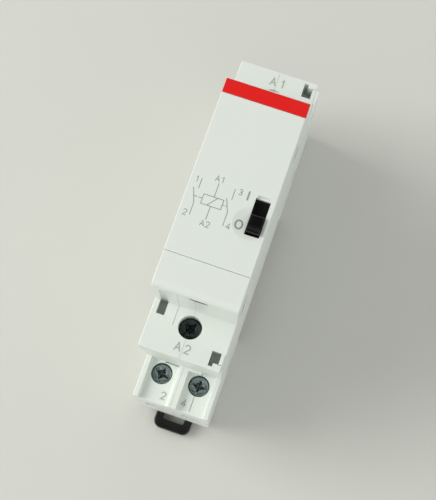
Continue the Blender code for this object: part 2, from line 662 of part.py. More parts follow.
# ---- magnet -------------------------------------------------------------------------------
def coil_bobbin():
    """Winding former: square flanges on a tube, and a shelf for the return spring."""
    low, high = BOBBIN_Z
    flange = (-FLANGE_HALF, FLANGE_HALF)
    bobbin = box("coil_bobbin", flange, flange, (low, low + FLANGE_T), insulator_plastic())
    fuse(bobbin, rod("bobbin_tube", (0, 0, low + 0.3 * MM), (0, 0, high - 0.3 * MM), BOBBIN_TUBE_R))
    fuse(bobbin, box("bobbin_flange", flange, flange, (high - FLANGE_T, high)))
    fuse(bobbin, box("bobbin_web", (-2 * MM, 2 * MM), (FLANGE_HALF - 0.3 * MM, FLANGE_HALF + 0.3 * MM),
                     (20.9 * MM, high - 0.2 * MM)))
    fuse(bobbin, box("bobbin_shelf", (-2 * MM, 2 * MM), (FLANGE_HALF - 0.25 * MM, 10 * MM), (20.8 * MM, 22.0 * MM)))
    cut(bobbin, rod("bobbin_bore", (0, 0, low - MM), (0, 0, high + MM), BOBBIN_BORE_R))
    return bobbin


def coil_winding():
    low, high = BOBBIN_Z[0] + FLANGE_T + GAP, BOBBIN_Z[1] - FLANGE_T - GAP
    inner = BOBBIN_TUBE_R + GAP
    profile = [(inner, low), (WINDING_R, low), (WINDING_R, high), (inner, high)]
    return turned("coil_winding", profile, (0, 0, 0), copper_wire(), segments=28)


def coil_core():
    """Iron core with its pole face under the armature."""
    head = (BOBBIN_Z[1] + GAP, BOBBIN_Z[1] + 1.4 * MM)
    core = rod("coil_core", (0, 0, YOKE_BASE_Z), (0, 0, head[0] + 0.3 * MM), CORE_R, soft_iron())
    fuse(core, rod("core_pole", (0, 0, head[0]), (0, 0, head[1]), 3.6 * MM))
    return core


def yoke():
    """L-shaped iron yoke: base under the coil, back plate up to the armature's edge."""
    top = ARMATURE_PIVOT.z - 0.7 * MM - 2 * GAP
    outline = [(YOKE_BACK_Y, YOKE_BASE_Z), (6.5 * MM, YOKE_BASE_Z), (6.5 * MM, YOKE_BASE_Z + YOKE_T),
               (YOKE_BACK_Y + YOKE_T, YOKE_BASE_Z + YOKE_T), (YOKE_BACK_Y + YOKE_T, top), (YOKE_BACK_Y, top)]
    iron = prism_x("yoke", outline, (-YOKE_HALF_X, YOKE_HALF_X), soft_iron())
    cut(iron, rod("yoke_hole", (0, 0, YOKE_BASE_Z - MM), (0, 0, YOKE_BASE_Z + YOKE_T + MM), CORE_R + GAP))
    return iron


def armature():
    """Hinged clapper with an upright arm, modelled closed and turned open about its pivot."""
    pivot = ARMATURE_PIVOT
    plate_t = 1.4 * MM
    half_x = 4.5 * MM
    clapper = box("armature", (-half_x, half_x), (pivot.y - 1.0 * MM, 9.6 * MM),
                  (pivot.z - plate_t / 2, pivot.z + plate_t / 2), soft_iron())
    fuse(clapper, box("armature_arm", (-ARM_HALF_X, ARM_HALF_X), (pivot.y - ARM_T / 2, pivot.y + ARM_T / 2),
                      (pivot.z, CARRIAGE_Z[1] - 0.4 * MM)))
    origin_at(clapper, pivot)
    clapper.rotation_euler = (ARMATURE_ANGLE, 0, 0)
    return clapper


def helix_points(radius, low, high, turns, per_turn):
    count = turns * per_turn
    return [(radius * math.cos(2 * math.pi * step / per_turn), radius * math.sin(2 * math.pi * step / per_turn),
             low + (high - low) * step / count) for step in range(count + 1)]


def wire(name, points, radius, mat, resolution=1):
    """A round wire along the points, as a curve with closed ends."""
    curve = bpy.data.curves.new(name, "CURVE")
    curve.dimensions = "3D"
    curve.bevel_depth = radius
    curve.bevel_resolution = resolution
    curve.use_fill_caps = True
    spline = curve.splines.new("POLY")
    spline.points.add(len(points) - 1)
    for point, place in zip(spline.points, points):
        point.co = (*place, 1.0)
    curve.materials.append(mat)
    obj = bpy.data.objects.new(name, curve)
    bpy.context.scene.collection.objects.link(obj)
    return obj


def armature_spring():
    """Compression spring between the bobbin's shelf and the armature's free end."""
    wire_r = 0.18 * MM
    points = helix_points(SPRING_R, SPRING_Z[0] + wire_r, SPRING_Z[1] - wire_r, turns=6, per_turn=10)
    return wire("armature_spring", [(x, y + SPRING_Y, z) for x, y, z in points], wire_r, zinc_steel(), resolution=0)


# ---- coil supply ---------------------------------------------------------------------------
def rectifier_board():
    box("rectifier_board", (-6.6 * MM, 6.6 * MM), (-16.6 * MM, -15.4 * MM), (4.0 * MM, 28.5 * MM), board_green())
    box("bridge_rectifier", (-3.0 * MM, 3.0 * MM), (-18.8 * MM, -16.9 * MM), (8.0 * MM, 14.0 * MM), black_plastic())
    rod("varistor", (0, -18.6 * MM, 20.5 * MM), (0, -16.9 * MM, 20.5 * MM), 3.2 * MM,
        material("varistor_blue", (0.05, 0.12, 0.4), 0.4))


def smooth_route(points, per_span=5):
    """Points on a Catmull-Rom curve through the given points."""
    ends = [points[0], *points, points[-1]]
    route = []
    for before, start, end, after in zip(ends, ends[1:], ends[2:], ends[3:]):
        p0, p1, p2, p3 = (Vector(point) for point in (before, start, end, after))
        for step in range(per_span):
            t = step / per_span
            route.append(tuple(0.5 * (2 * p1 + (p2 - p0) * t + (2 * p0 - 5 * p1 + 4 * p2 - p3) * t * t
                                      + (3 * p1 - p0 - 3 * p2 + p3) * t * t * t)))
    return route + [tuple(points[-1])]


def lead_wires():
    """The A1 lead along the works to the board, and the winding's two ends."""
    lane = 2.65 * MM
    a1 = [(1.2 * MM, 17.4 * MM, 34.6 * MM), (lane, 13 * MM, 34.6 * MM), (lane, 2 * MM, 34.3 * MM),
          (lane, -9 * MM, 34.5 * MM), (lane, -14.5 * MM, 33 * MM), (lane, -16 * MM, 29.1 * MM)]
    wire("a1_lead", smooth_route(a1), 0.3 * MM, material("lead_red", (0.5, 0.03, 0.03), 0.45))
    for label, side in (("start", -1), ("end", 1)):
        x = side * 6.1 * MM
        points = [(x, -7.2 * MM, 24.6 * MM), (x, -10.5 * MM, 25.6 * MM), (x, -15.0 * MM, 24.0 * MM)]
        wire(f"winding_{label}_lead", smooth_route(points), 0.2 * MM, copper_wire())


# ---- rail latch -----------------------------------------------------------------------------
def din_latch():
    """Sliding rail latch: pull ring outside, guide flanges, spring slots and the hook nose."""
    round_r = 1.9 * MM
    low, high = LATCH_Z
    corners = []
    for centre_x, start in ((-LATCH_HALF_X + round_r, math.pi), (LATCH_HALF_X - round_r, 1.5 * math.pi)):
        for step in range(6):
            angle = start + math.pi / 2 * step / 5
            corners.append((centre_x + round_r * math.cos(angle), -LATCH_OUT + round_r + round_r * math.sin(angle)))
    outline = [(-LATCH_HALF_X, -LATCH_NOSE), *corners, (LATCH_HALF_X, -LATCH_NOSE)]
    bm = bmesh.new()
    face = bm.faces.new([bm.verts.new((x, y, low)) for x, y in outline])
    grown = bmesh.ops.extrude_face_region(bm, geom=[face])
    moved = [item for item in grown["geom"] if isinstance(item, bmesh.types.BMVert)]
    bmesh.ops.translate(bm, verts=moved, vec=(0, 0, high - low))
    latch = finish_object("din_latch", bm, black_plastic())
    nose = [(-RAIL_HALF + 0.3 * MM, low + 0.5 * MM), (-LATCH_NOSE, low + 0.5 * MM), (-LATCH_NOSE, -2.3 * MM),
            (-LATCH_NOSE - 0.9 * MM, RAIL_HOLD_Z), (-RAIL_HALF + 0.3 * MM, RAIL_HOLD_Z)]
    fuse(latch, prism_x("latch_nose", nose, (-LATCH_HALF_X + 0.3 * MM, LATCH_HALF_X - 0.3 * MM)))
    fuse(latch, box("latch_flanges", (-LATCH_FLANGE_X, LATCH_FLANGE_X), (-34 * MM, -23 * MM), (-4.1 * MM, high)))
    past = (low - MM, MM)
    cut(latch, box("latch_window", (-2.7 * MM, 2.7 * MM), (-42.35 * MM, -37.6 * MM), past))
    for side in (-1, 1):
        cut(latch, box(f"latch_slot{side}", mirrored((1.6 * MM, 2.4 * MM), side), (-34 * MM, -24 * MM), past))
    return origin_at(latch, (0, -RAIL_HALF, LATCH_Z[0]))


def build():
    clear_scene()
    housing_shell("housing_left", -1)
    housing_shell("housing_right", 1)
    shell_rivets()
    pole_barrier("pole_barrier_top", 1)
    pole_barrier("pole_barrier_bottom", -1)
    front_cover()
    cover_foot()
    header_strip()
    terminals()
    coil_tongues()
    pole_busbars()
    moving_contacts()
    fixed_contacts()
    contact_carriage()
    manual_slider()
    coil_bobbin()
    coil_winding()
    coil_core()
    yoke()
    armature()
    armature_spring()
    rectifier_board()
    lead_wires()
    din_latch()


build()
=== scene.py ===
"""Looks of a one-module rail contactor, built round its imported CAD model.

Every length is in the CAD's frame: +Z out of the front, +Y towards coil terminal A1, +X across the width.
Shapes are drawn in millimetres and turned into metres as each mesh is made.
"""

import logging
import math
from dataclasses import dataclass
from enum import Enum
from typing import Callable, Iterable, Sequence

import bmesh
import bpy
from mathutils import Matrix, Vector


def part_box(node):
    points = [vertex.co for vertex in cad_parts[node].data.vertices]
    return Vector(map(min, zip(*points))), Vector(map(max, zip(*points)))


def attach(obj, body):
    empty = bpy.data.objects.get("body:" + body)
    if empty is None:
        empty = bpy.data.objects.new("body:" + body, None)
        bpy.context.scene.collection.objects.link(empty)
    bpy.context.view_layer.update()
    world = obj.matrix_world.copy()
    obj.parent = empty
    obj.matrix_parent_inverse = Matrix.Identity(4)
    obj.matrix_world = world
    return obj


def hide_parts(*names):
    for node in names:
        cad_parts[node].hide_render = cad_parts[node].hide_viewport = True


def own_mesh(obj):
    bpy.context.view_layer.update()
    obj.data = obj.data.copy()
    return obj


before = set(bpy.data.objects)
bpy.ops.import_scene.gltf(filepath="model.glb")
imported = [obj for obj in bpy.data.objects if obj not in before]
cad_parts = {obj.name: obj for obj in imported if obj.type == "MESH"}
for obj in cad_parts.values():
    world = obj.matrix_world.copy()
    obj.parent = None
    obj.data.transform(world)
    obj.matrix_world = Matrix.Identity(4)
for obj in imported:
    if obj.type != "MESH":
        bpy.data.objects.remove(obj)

MM = 0.001
LOG = logging.getLogger("contactor")
# faces that meet at a larger angle than this have an edge: it is rounded, and the shading breaks at it
SHARP = math.radians(32)
Point = tuple[float, float]
Span = tuple[float, float]


class Side(Enum):
    """The two halves of the housing, by the sign of their X."""

    LEFT = -1
    RIGHT = 1


class End(Enum):
    """The two ends of the device, by the sign of their Y."""

    TOP = 1
    BOTTOM = -1


# ---- materials ------------------------------------------------------------------------


def linear(colour: str) -> tuple[float, float, float, float]:
    """Turns an sRGB hex colour into linear light.

    Args:
        colour: six hex digits.

    Returns:
        Red, green and blue in linear light, and an alpha of 1.
    """
    parts = [int(colour[i : i + 2], 16) / 255 for i in (0, 2, 4)]
    light = [p / 12.92 if p <= 0.04045 else ((p + 0.055) / 1.055) ** 2.4 for p in parts]
    return (light[0], light[1], light[2], 1.0)


def add_node(
    tree: bpy.types.NodeTree, kind: str, settings: dict[str, object], links: dict[str, bpy.types.NodeSocket]
) -> bpy.types.Node:
    """Adds a node with its settings and the links that feed it.

    Args:
        tree: the material's node tree.
        kind: the node's type.
        settings: values of sockets, by identifier or name, or of the node's own properties.
        links: sockets that feed this node's inputs, by the input's identifier or name.

    Returns:
        The new node.
    """
    node = tree.nodes.new(kind)
    for key, value in settings.items():
        if hasattr(node, key):
            setattr(node, key, value)
    sockets = {s.name: s for s in node.inputs} | {s.identifier: s for s in node.inputs}
    for key, value in settings.items():
        if not hasattr(node, key):
            sockets[key].default_value = value
    for key, source in links.items():
        tree.links.new(source, sockets[key])
    return node


@dataclass(frozen=True)
class Finish:
    """A surface with slow colour drift, uneven gloss and a fine relief.

    A metal keeps the default IOR. Noise scales are the inverse of a feature's size.
    """

    name: str
    colour: str
    drift_colour: str
    roughness: float
    roughness_drift: float
    grain_mm: float
    relief_mm: float
    drift_mm: float = 9.0
    metallic: float = 0.0
    coat: float = 0.0
    sheen_rows: float = 0.0

    def material(self) -> bpy.types.Material:
        """Makes the material once, and gives the same one when asked again.

        Returns:
            The material.
        """
        known = bpy.data.materials.get(self.name)
        if known:
            return known
        made = bpy.data.materials.new(self.name)
        made.use_nodes = True
        tree = made.node_tree
        tree.nodes.clear()
        place = add_node(tree, "ShaderNodeTexCoord", {}, {}).outputs["Object"]
        # slow drift: moulding flow, plating or fingerprints, seen as a faint unevenness of tone and gloss
        drift = add_node(
            tree, "ShaderNodeTexNoise", {"Scale": 1 / (self.drift_mm * MM), "Detail": 3.0}, {"Vector": place}
        )
        tone = add_node(
            tree,
            "ShaderNodeMix",
            {"data_type": "RGBA", "A_Color": linear(self.colour), "B_Color": linear(self.drift_colour)},
            {"Factor_Float": drift.outputs["Fac"]},
        )
        # grain: the skin's own relief, finer than the eye resolves but enough to soften a reflection
        grain = add_node(
            tree, "ShaderNodeTexNoise", {"Scale": 1 / (self.grain_mm * MM), "Detail": 2.0}, {"Vector": place}
        )
        gloss = add_node(
            tree,
            "ShaderNodeMapRange",
            {
                "From Min": 0.3,
                "From Max": 0.7,
                "To Min": self.roughness - self.roughness_drift,
                "To Max": self.roughness + self.roughness_drift,
            },
            {"Value": drift.outputs["Fac"]},
        )
        height = grain.outputs["Fac"]
        if self.sheen_rows:
            rows = add_node(
                tree,
                "ShaderNodeTexWave",
                {"Scale": 1 / (self.sheen_rows * MM), "Distortion": 1.5, "Detail": 2.0, "bands_direction": "Z"},
                {"Vector": place},
            )
            height = add_node(
                tree, "ShaderNodeMath", {"operation": "ADD"}, {"Value": height, "Value_001": rows.outputs["Fac"]}
            ).outputs[0]
        relief = add_node(
            tree, "ShaderNodeBump", {"Strength": 1.0, "Distance": self.relief_mm * MM}, {"Height": height}
        )
        shader = add_node(
            tree,
            "ShaderNodeBsdfPrincipled",
            {"Metallic": self.metallic, "Coat Weight": self.coat, "Coat Roughness": 0.25},
            {
                "Base Color": next(s for s in tone.outputs if s.identifier == "Result_Color"),
                "Roughness": gloss.outputs["Result"],
                "Normal": relief.outputs["Normal"],
            },
        )
        add_node(tree, "ShaderNodeOutputMaterial", {}, {"Surface": shader.outputs["BSDF"]})
        return made


# polyamide moulded in a spark-eroded tool: an even satin, near-white grey with a cool cast
HOUSING = Finish("polyamide_moulded_satin", "ECF2EC", "E7EDE7", 0.42, 0.05, 0.35, 0.004, drift_mm=14.0)
# the same polyamide on its rounded edges: glossier where handling rubs it smooth, and lighter as a painted
# highlight along each edge
HOUSING_EDGE_HIGHLIGHT = Finish("polyamide_edge_painted_highlight", "F3F6F2", "ECF1EC", 0.3, 0.05, 0.5, 0.001)
# red polycarbonate strip, smooth tool: clean colour with a soft highlight
HEADER = Finish("polycarbonate_moulded_red", "F01A17", "E81613", 0.34, 0.04, 0.4, 0.0015, drift_mm=8.0)
# the red strip's rounded edges: a lighter red that paints their highlight
HEADER_EDGE_HIGHLIGHT = Finish("polycarbonate_red_edge_painted_highlight", "EC4A43", "E53A34", 0.3, 0.04, 0.5, 0.001)
# black polyamide with glass fibre: deep black, a grey bloom where thumbs polish it
BLACK = Finish("polyamide_glass_filled_black", "060706", "0A0B0A", 0.3, 0.05, 0.3, 0.002, drift_mm=4.0)
# the black parts' rounded edges: a lighter black that paints their highlight
BLACK_EDGE_HIGHLIGHT = Finish("polyamide_black_edge_painted_highlight", "0E0F0E", "171817", 0.3, 0.06, 0.4, 0.001)
# arc-resistant grey moulding of the carriage and the bobbin: matt, slightly speckled
INSULATOR = Finish("thermoset_moulded_grey", "B4B7B8", "A3A7A9", 0.55, 0.06, 0.4, 0.006, drift_mm=3.0)
# steel, cold headed and zinc plated with a blue passivation: bright, cool, faintly mottled
ZINC = Finish("steel_zinc_plated", "A9B7B6", "7F9092", 0.3, 0.09, 0.25, 0.003, drift_mm=0.9, metallic=1.0)
# the screws' rounded edges: a lighter zinc that paints their highlight
ZINC_EDGE_HIGHLIGHT = Finish("steel_zinc_edge_painted_highlight", "C2CDCC", "9DAAAC", 0.2, 0.05, 0.4, 0.001, metallic=1.0)
# the same plating in the driver's recess, darker as painted shade, with sharp glints
RECESS_SHADE = Finish(
    "steel_zinc_driver_recess_painted_shade", "4A5456", "2B3133", 0.35, 0.1, 0.3, 0.006, drift_mm=0.6, metallic=1.0
)
# the coil screws' plating, darkened as painted shade for their deep holes: deep grey metal that shows only small
# glints
ZINC_SHADE = Finish(
    "steel_zinc_painted_shade", "5A6462", "3C4544", 0.34, 0.1, 0.3, 0.01, drift_mm=0.7, metallic=1.0
)
# soft iron of the magnet, stamped and nickel plated: grey satin with press marks
IRON = Finish("iron_stamped_nickel", "8E8D8A", "7A7976", 0.38, 0.08, 0.5, 0.008, drift_mm=3.0, metallic=1.0)
# brass strip, stamped and tinned: pale yellow metal, drawn lines along the strip
BRASS = Finish(
    "brass_stamped_tinned", "D8BC7A", "C7A862", 0.28, 0.07, 0.3, 0.003,
    drift_mm=2.0, metallic=1.0, sheen_rows=1.2,
)
# silver alloy contact, coined: white metal, dull where it has switched
SILVER = Finish("silver_alloy_coined", "E6E5E0", "C9C8C3", 0.25, 0.1, 0.3, 0.004, drift_mm=0.7, metallic=1.0)
# enamelled copper wire, wound: the 0.2 mm turns are drawn 0.5 mm apart so that their rows can show
COPPER = Finish(
    "copper_enamelled_wound", "B5652F", "9C4F22", 0.3, 0.06, 0.4, 0.03,
    drift_mm=2.0, metallic=1.0, sheen_rows=0.5,
)
# glass-epoxy board with solder mask: deep green under a clear coat
BOARD = Finish("epoxy_board_solder_mask", "1F6B3A", "195A30", 0.4, 0.05, 0.5, 0.004, drift_mm=2.5, coat=0.5)
# dipped epoxy of the varistor: blue, orange-peel gloss
DIPPED = Finish("epoxy_dipped_blue", "1F4C9C", "1A4189", 0.25, 0.05, 0.9, 0.02, coat=0.5)
# PVC insulation of the coil lead: soft red sheen
LEAD = Finish("pvc_extruded_red", "B21E1E", "9E1919", 0.4, 0.05, 0.5, 0.003)
# pad-printed ink: thin grey film, matt, a little patchy where the pad lifted
INK = Finish("ink_pad_printed_grey", "8E9A94", "9DA8A2", 0.6, 0.06, 0.4, 0.002, drift_mm=0.8)
# raised terminal marks: same polyamide, painted a darker grey as shade, since their flanks catch less light
MARK_SHADE = Finish("polyamide_raised_mark_painted_shade", "B6BDB8", "ADB4AF", 0.45, 0.05, 0.4, 0.002)
# flocked card: almost no reflection at any angle
CARD = Finish("card_flocked_black", "0C0C0C", "101010", 0.9, 0.03, 0.8, 0.01)
# paper sweep under the device: matt, warm white-grey with very faint fibre
PAPER = Finish("paper_sweep_matt", "D7D7D1", "D3D3CD", 0.8, 0.03, 0.6, 0.006, drift_mm=60.0)


# ---- solids ---------------------------------------------------------------------------


def arc(centre: Point, radii: Point, start: float, stop: float, steps: int) -> list[Point]:
    """Points along an ellipse's arc.

    Args:
        centre: the ellipse's centre.
        radii: its half axes.
        start: first angle in degrees.
        stop: last angle in degrees.
        steps: how many pieces the arc has.

    Returns:
        steps + 1 points.
    """
    angles = [math.radians(start + (stop - start) * i / steps) for i in range(steps + 1)]
    return [(centre[0] + radii[0] * math.cos(a), centre[1] + radii[1] * math.sin(a)) for a in angles]


@dataclass(frozen=True)
class Dress:
    """How a finished solid is shown: its finish, the finish of its rounded edges, and their width. The edge
    finish is a lighter or darker copy that paints highlight or shade along the edges.
    """

    finish: Finish
    edge_finish: Finish
    edge_mm: float = 0.18
    steps: int = 3
    slot: str = ""

    def give_materials(self, mesh: bpy.types.Mesh) -> None:
        """Puts the two finishes on a mesh that has none, the edges' second.

        Args:
            mesh: the mesh to dress.
        """
        if not mesh.materials:
            mesh.materials.append(self.finish.material())
            mesh.materials.append(self.edge_finish.material())

    def put_on(self, obj: bpy.types.Object) -> None:
        """Gives an object smooth shading, and materials and rounded edges unless it already has them.

        A mesh that has its materials was rounded before its fine cuts, so it only needs its sharp edges marked.

        Args:
            obj: the object to dress.
        """
        fresh = not obj.data.materials
        self.give_materials(obj.data)
        obj.data.shade_smooth()
        if fresh:
            rounded = obj.modifiers.new("rounded_edges", "BEVEL")
            rounded.width = self.edge_mm * MM
            rounded.segments = self.steps
            rounded.limit_method = "ANGLE"
            rounded.angle_limit = SHARP
            rounded.use_clamp_overlap = False
            # the rounded faces take the edge finish, which paints their highlight or shade
            rounded.material = 1
        else:
            obj.data.set_sharp_from_angle(angle=SHARP)
        shading = obj.modifiers.new("even_shading", "WEIGHTED_NORMAL")
        shading.keep_sharp = not fresh
        shading.weight = 80


SHELL_DRESS = Dress(HOUSING, HOUSING_EDGE_HIGHLIGHT, 0.16, slot="housing_white")
COVER_DRESS = Dress(HOUSING, HOUSING_EDGE_HIGHLIGHT, 0.3, slot="housing_white")
HEADER_DRESS = Dress(HEADER, HEADER_EDGE_HIGHLIGHT, 0.1, slot="header_red")
SLIDER_DRESS = Dress(BLACK, BLACK_EDGE_HIGHLIGHT, 0.08, 3, slot="moving_black")
LATCH_DRESS = Dress(BLACK, BLACK_EDGE_HIGHLIGHT, 0.32, 4, slot="moving_black")
SCREW_DRESS = Dress(ZINC, ZINC_EDGE_HIGHLIGHT, 0.06, 2, slot="zinc_steel")
COIL_SCREW_DRESS = Dress(ZINC_SHADE, RECESS_SHADE, 0.06, 2, slot="zinc_steel")
SPRING_DRESS = Dress(ZINC, ZINC_EDGE_HIGHLIGHT, 0.001, 1, slot="zinc_steel")
INK_DRESS = Dress(INK, INK, 0.004, 1)
MARK_SHADE_DRESS = Dress(MARK_SHADE, MARK_SHADE, 0.05, 2)
FINE_DRESS = Dress(HOUSING, HOUSING_EDGE_HIGHLIGHT, 0.08, 2)


class Solid:
    """A closed mesh in the making, drawn in millimetres. Fuse and cut use up the solids they are given."""

    def __init__(self, bm: bmesh.types.BMesh) -> None:
        """Turns a bmesh in millimetres into an object in metres.

        Args:
            bm: the closed shape, which this uses up.
        """
        bmesh.ops.recalc_face_normals(bm, faces=bm.faces[:])
        bmesh.ops.scale(bm, vec=(MM, MM, MM), verts=bm.verts[:])
        mesh = bpy.data.meshes.new("solid")
        bm.to_mesh(mesh)
        bm.free()
        self.obj = bpy.data.objects.new("solid", mesh)
        bpy.context.scene.collection.objects.link(self.obj)

    @classmethod
    def block(cls, x: Span, y: Span, z: Span) -> "Solid":
        """A block between two values on each axis.

        Args:
            x: the two values across the width.
            y: the two values along the device.
            z: the two heights.

        Returns:
            The solid.
        """
        bm = bmesh.new()
        low = Vector((min(x), min(y), min(z)))
        high = Vector((max(x), max(y), max(z)))
        shape = Matrix.Translation((low + high) / 2) @ Matrix.Diagonal((*(high - low), 1.0))
        bmesh.ops.create_cube(bm, size=1.0, matrix=shape)
        return cls(bm)

    @classmethod
    def rod(cls, start: Sequence[float], end: Sequence[float], radii: Point, steps: int = 48) -> "Solid":
        """A rod or cone between two points.

        Args:
            start: middle of the first end.
            end: middle of the other end.
            radii: radius at each end.
            steps: sides of the circle.

        Returns:
            The solid.
        """
        bm = bmesh.new()
        first = Vector(start)
        run = Vector(end) - first
        turn = Vector((0, 0, 1)).rotation_difference(run).to_matrix().to_4x4()
        bmesh.ops.create_cone(
            bm,
            cap_ends=True,
            segments=steps,
            radius1=radii[0],
            radius2=radii[1],
            depth=run.length,
            matrix=Matrix.Translation(first + run / 2) @ turn,
        )
        return cls(bm)

    @classmethod
    def ball(cls, centre: Sequence[float], radii: Sequence[float]) -> "Solid":
        """An ellipsoid, used as a tool for dished recesses.

        Args:
            centre: its middle.
            radii: its half axes.

        Returns:
            The solid.
        """
        bm = bmesh.new()
        shape = Matrix.Translation(centre) @ Matrix.Diagonal((*radii, 1.0))
        bmesh.ops.create_uvsphere(bm, u_segments=96, v_segments=64, radius=1.0, matrix=shape)
        return cls(bm)

    @classmethod
    def prism(cls, outline: Sequence[Point], span: Span, axis: str = "X") -> "Solid":
        """An outline extruded along an axis.

        Args:
            outline: points of (y, z) for axis X, of (x, z) for Y and of (x, y) for Z.
            span: low and high value on the axis.
            axis: X, Y or Z.

        Returns:
            The solid.
        """
        low, high = min(span), max(span)
        place = {
            "X": lambda p: (low, p[0], p[1]),
            "Y": lambda p: (p[0], low, p[1]),
            "Z": lambda p: (p[0], p[1], low),
        }[axis]
        bm = bmesh.new()
        face = bm.faces.new([bm.verts.new(place(p)) for p in outline])
        grown = bmesh.ops.extrude_face_region(bm, geom=[face])
        moved = [v for v in grown["geom"] if isinstance(v, bmesh.types.BMVert)]
        step = Vector([high - low if axis == a else 0.0 for a in "XYZ"])
        bmesh.ops.translate(bm, verts=moved, vec=step)
        return cls(bm)

    @classmethod
    def lathe(cls, profile: Sequence[Point], centre: Sequence[float], steps: int = 48) -> "Solid":
        """A profile turned about Z.

        Args:
            profile: points of (radius, height) that start and end on the axis.
            centre: the profile's origin.
            steps: sides of the circle.

        Returns:
            The solid.
        """
        bm = bmesh.new()
        edge = [bm.verts.new((centre[0] + r, centre[1], centre[2] + h)) for r, h in profile]
        edges = [bm.edges.new(pair) for pair in zip(edge, edge[1:])]
        bmesh.ops.spin(
            bm, geom=edge + edges, cent=centre, axis=(0, 0, 1), angle=2 * math.pi, steps=steps, use_merge=True
        )
        bmesh.ops.remove_doubles(bm, verts=bm.verts[:], dist=0.001)
        return cls(bm)

    @classmethod
    def coil(cls, low: Sequence[float], height: float, radius: float, wire: float, turns: float) -> "Solid":
        """A compression spring standing on a point, with closed ends.

        Args:
            low: centre of its lower end.
            height: its length along Z.
            radius: mean radius of the coils.
            wire: radius of the wire.
            turns: number of coils.

        Returns:
            The solid.
        """
        bm = bmesh.new()
        count = int(turns * 20)
        rings = []
        for i in range(count + 1):
            share = i / count
            ease = 0.5 - 0.5 * math.cos(math.pi * share)
            lift = wire + (height - 2 * wire) * (0.5 * share + 0.5 * ease)
            turn = 2 * math.pi * turns * share
            out = Vector((math.cos(turn), math.sin(turn), 0))
            centre = Vector(low) + out * radius + Vector((0, 0, lift))
            ring = []
            for k in range(8):
                around = 2 * math.pi * k / 8
                spot = centre + out * wire * math.cos(around) + Vector((0, 0, wire * math.sin(around)))
                ring.append(bm.verts.new(spot))
            rings.append(ring)
        for here, there in zip(rings, rings[1:]):
            for k in range(8):
                bm.faces.new((here[k], here[(k + 1) % 8], there[(k + 1) % 8], there[k]))
        bm.faces.new(rings[0])
        bm.faces.new(rings[-1])
        return cls(bm)

    @classmethod
    def ribbon(cls, path: Sequence[Point], width: float, z: Span, closed: bool = False) -> "Solid":
        """A flat stroke of even width.

        Args:
            path: points of (x, y) along its middle.
            width: the stroke's width.
            z: its two heights.
            closed: whether the last point leads back to the first.

        Returns:
            The solid.
        """
        count = len(path)
        left, right = [], []
        for i, here in enumerate(path):
            before = Vector(path[i - 1]) if i or closed else None
            after = Vector(path[(i + 1) % count]) if i + 1 < count or closed else None
            spot = Vector(here)
            came = (spot - before).normalized() if before else (after - spot).normalized()
            goes = (after - spot).normalized() if after else came
            side = Vector((-came.y - goes.y, came.x + goes.x)).normalized()
            reach = width / 2 / max(0.5, side.dot(Vector((-came.y, came.x))))
            left.append(spot + side * reach)
            right.append(spot - side * reach)
        bm = bmesh.new()
        rings = [
            [bm.verts.new((*p, h)) for p, h in ((a, z[0]), (b, z[0]), (b, z[1]), (a, z[1]))]
            for a, b in zip(left, right)
        ]
        for i in range(count if closed else count - 1):
            here, there = rings[i], rings[(i + 1) % count]
            for k in range(4):
                bm.faces.new((here[k], here[(k + 1) % 4], there[(k + 1) % 4], there[k]))
        if not closed:
            bm.faces.new(rings[0])
            bm.faces.new(rings[-1])
        return cls(bm)

    def round(self, dress: Dress, inner_x: float | None = None) -> "Solid":
        """Rounds this solid's edges for good, before finer features are cut.

        Args:
            dress: gives the width, the steps and the two finishes.
            inner_x: edges at or inside this |x| in millimetres stay sharp, as at a parting line.

        Returns:
            This solid.
        """
        mesh = self.obj.data
        dress.give_materials(mesh)
        bm = bmesh.new()
        bm.from_mesh(mesh)
        picked = []
        for edge in bm.edges:
            if edge.calc_face_angle(0.0) < SHARP:
                continue
            reach = max(abs(v.co.x) for v in edge.verts) / MM
            if inner_x is None or reach > inner_x + 0.001:
                picked.append(edge)
        bmesh.ops.bevel(
            bm,
            geom=picked,
            offset=dress.edge_mm * MM,
            segments=dress.steps,
            profile=0.5,
            affect="EDGES",
            clamp_overlap=True,
            material=1,
        )
        bm.to_mesh(mesh)
        bm.free()
        return self

    def combine(self, tools: Iterable["Solid"], operation: str) -> "Solid":
        """Runs exact Booleans with each tool in turn and removes the tools.

        Args:
            tools: the other solids, which this uses up.
            operation: UNION, DIFFERENCE or INTERSECT.

        Returns:
            This solid.
        """
        spent = [tool.obj for tool in tools]
        for tool in spent:
            modifier = self.obj.modifiers.new("tool", "BOOLEAN")
            modifier.operation = operation
            modifier.solver = "EXACT"
            modifier.object = tool
        graph = bpy.context.evaluated_depsgraph_get()
        mesh = bpy.data.meshes.new_from_object(self.obj.evaluated_get(graph))
        self.obj.modifiers.clear()
        self.obj.data = mesh
        for tool in spent:
            bpy.data.objects.remove(tool, do_unlink=True)
        return self

    def fuse(self, *tools: "Solid") -> "Solid":
        """Joins the tools to this solid."""
        return self.combine(tools, "UNION")

    def cut(self, *tools: "Solid") -> "Solid":
        """Takes the tools away from this solid."""
        return self.combine(tools, "DIFFERENCE")

    def keep(self, *tools: "Solid") -> "Solid":
        """Keeps only what this solid shares with the tools."""
        return self.combine(tools, "INTERSECT")


def show(solid: Solid, name: str, body: str, dress: Dress, replaces: Sequence[str] = ()) -> bpy.types.Object:
    """Finishes a solid as a piece that rides on a CAD body.

    Args:
        solid: the finished mesh.
        name: the piece's name.
        body: the CAD body it moves with.
        dress: its finish and edges.
        replaces: CAD nodes it stands for.

    Returns:
        The piece.
    """
    obj = solid.obj
    obj.name = name
    obj.data.name = name
    dress.put_on(obj)
    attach(obj, body)
    if replaces:
        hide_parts(*replaces)
    LOG.info("%s rides on %s", name, body)
    return obj


# ---- device ---------------------------------------------------------------------------


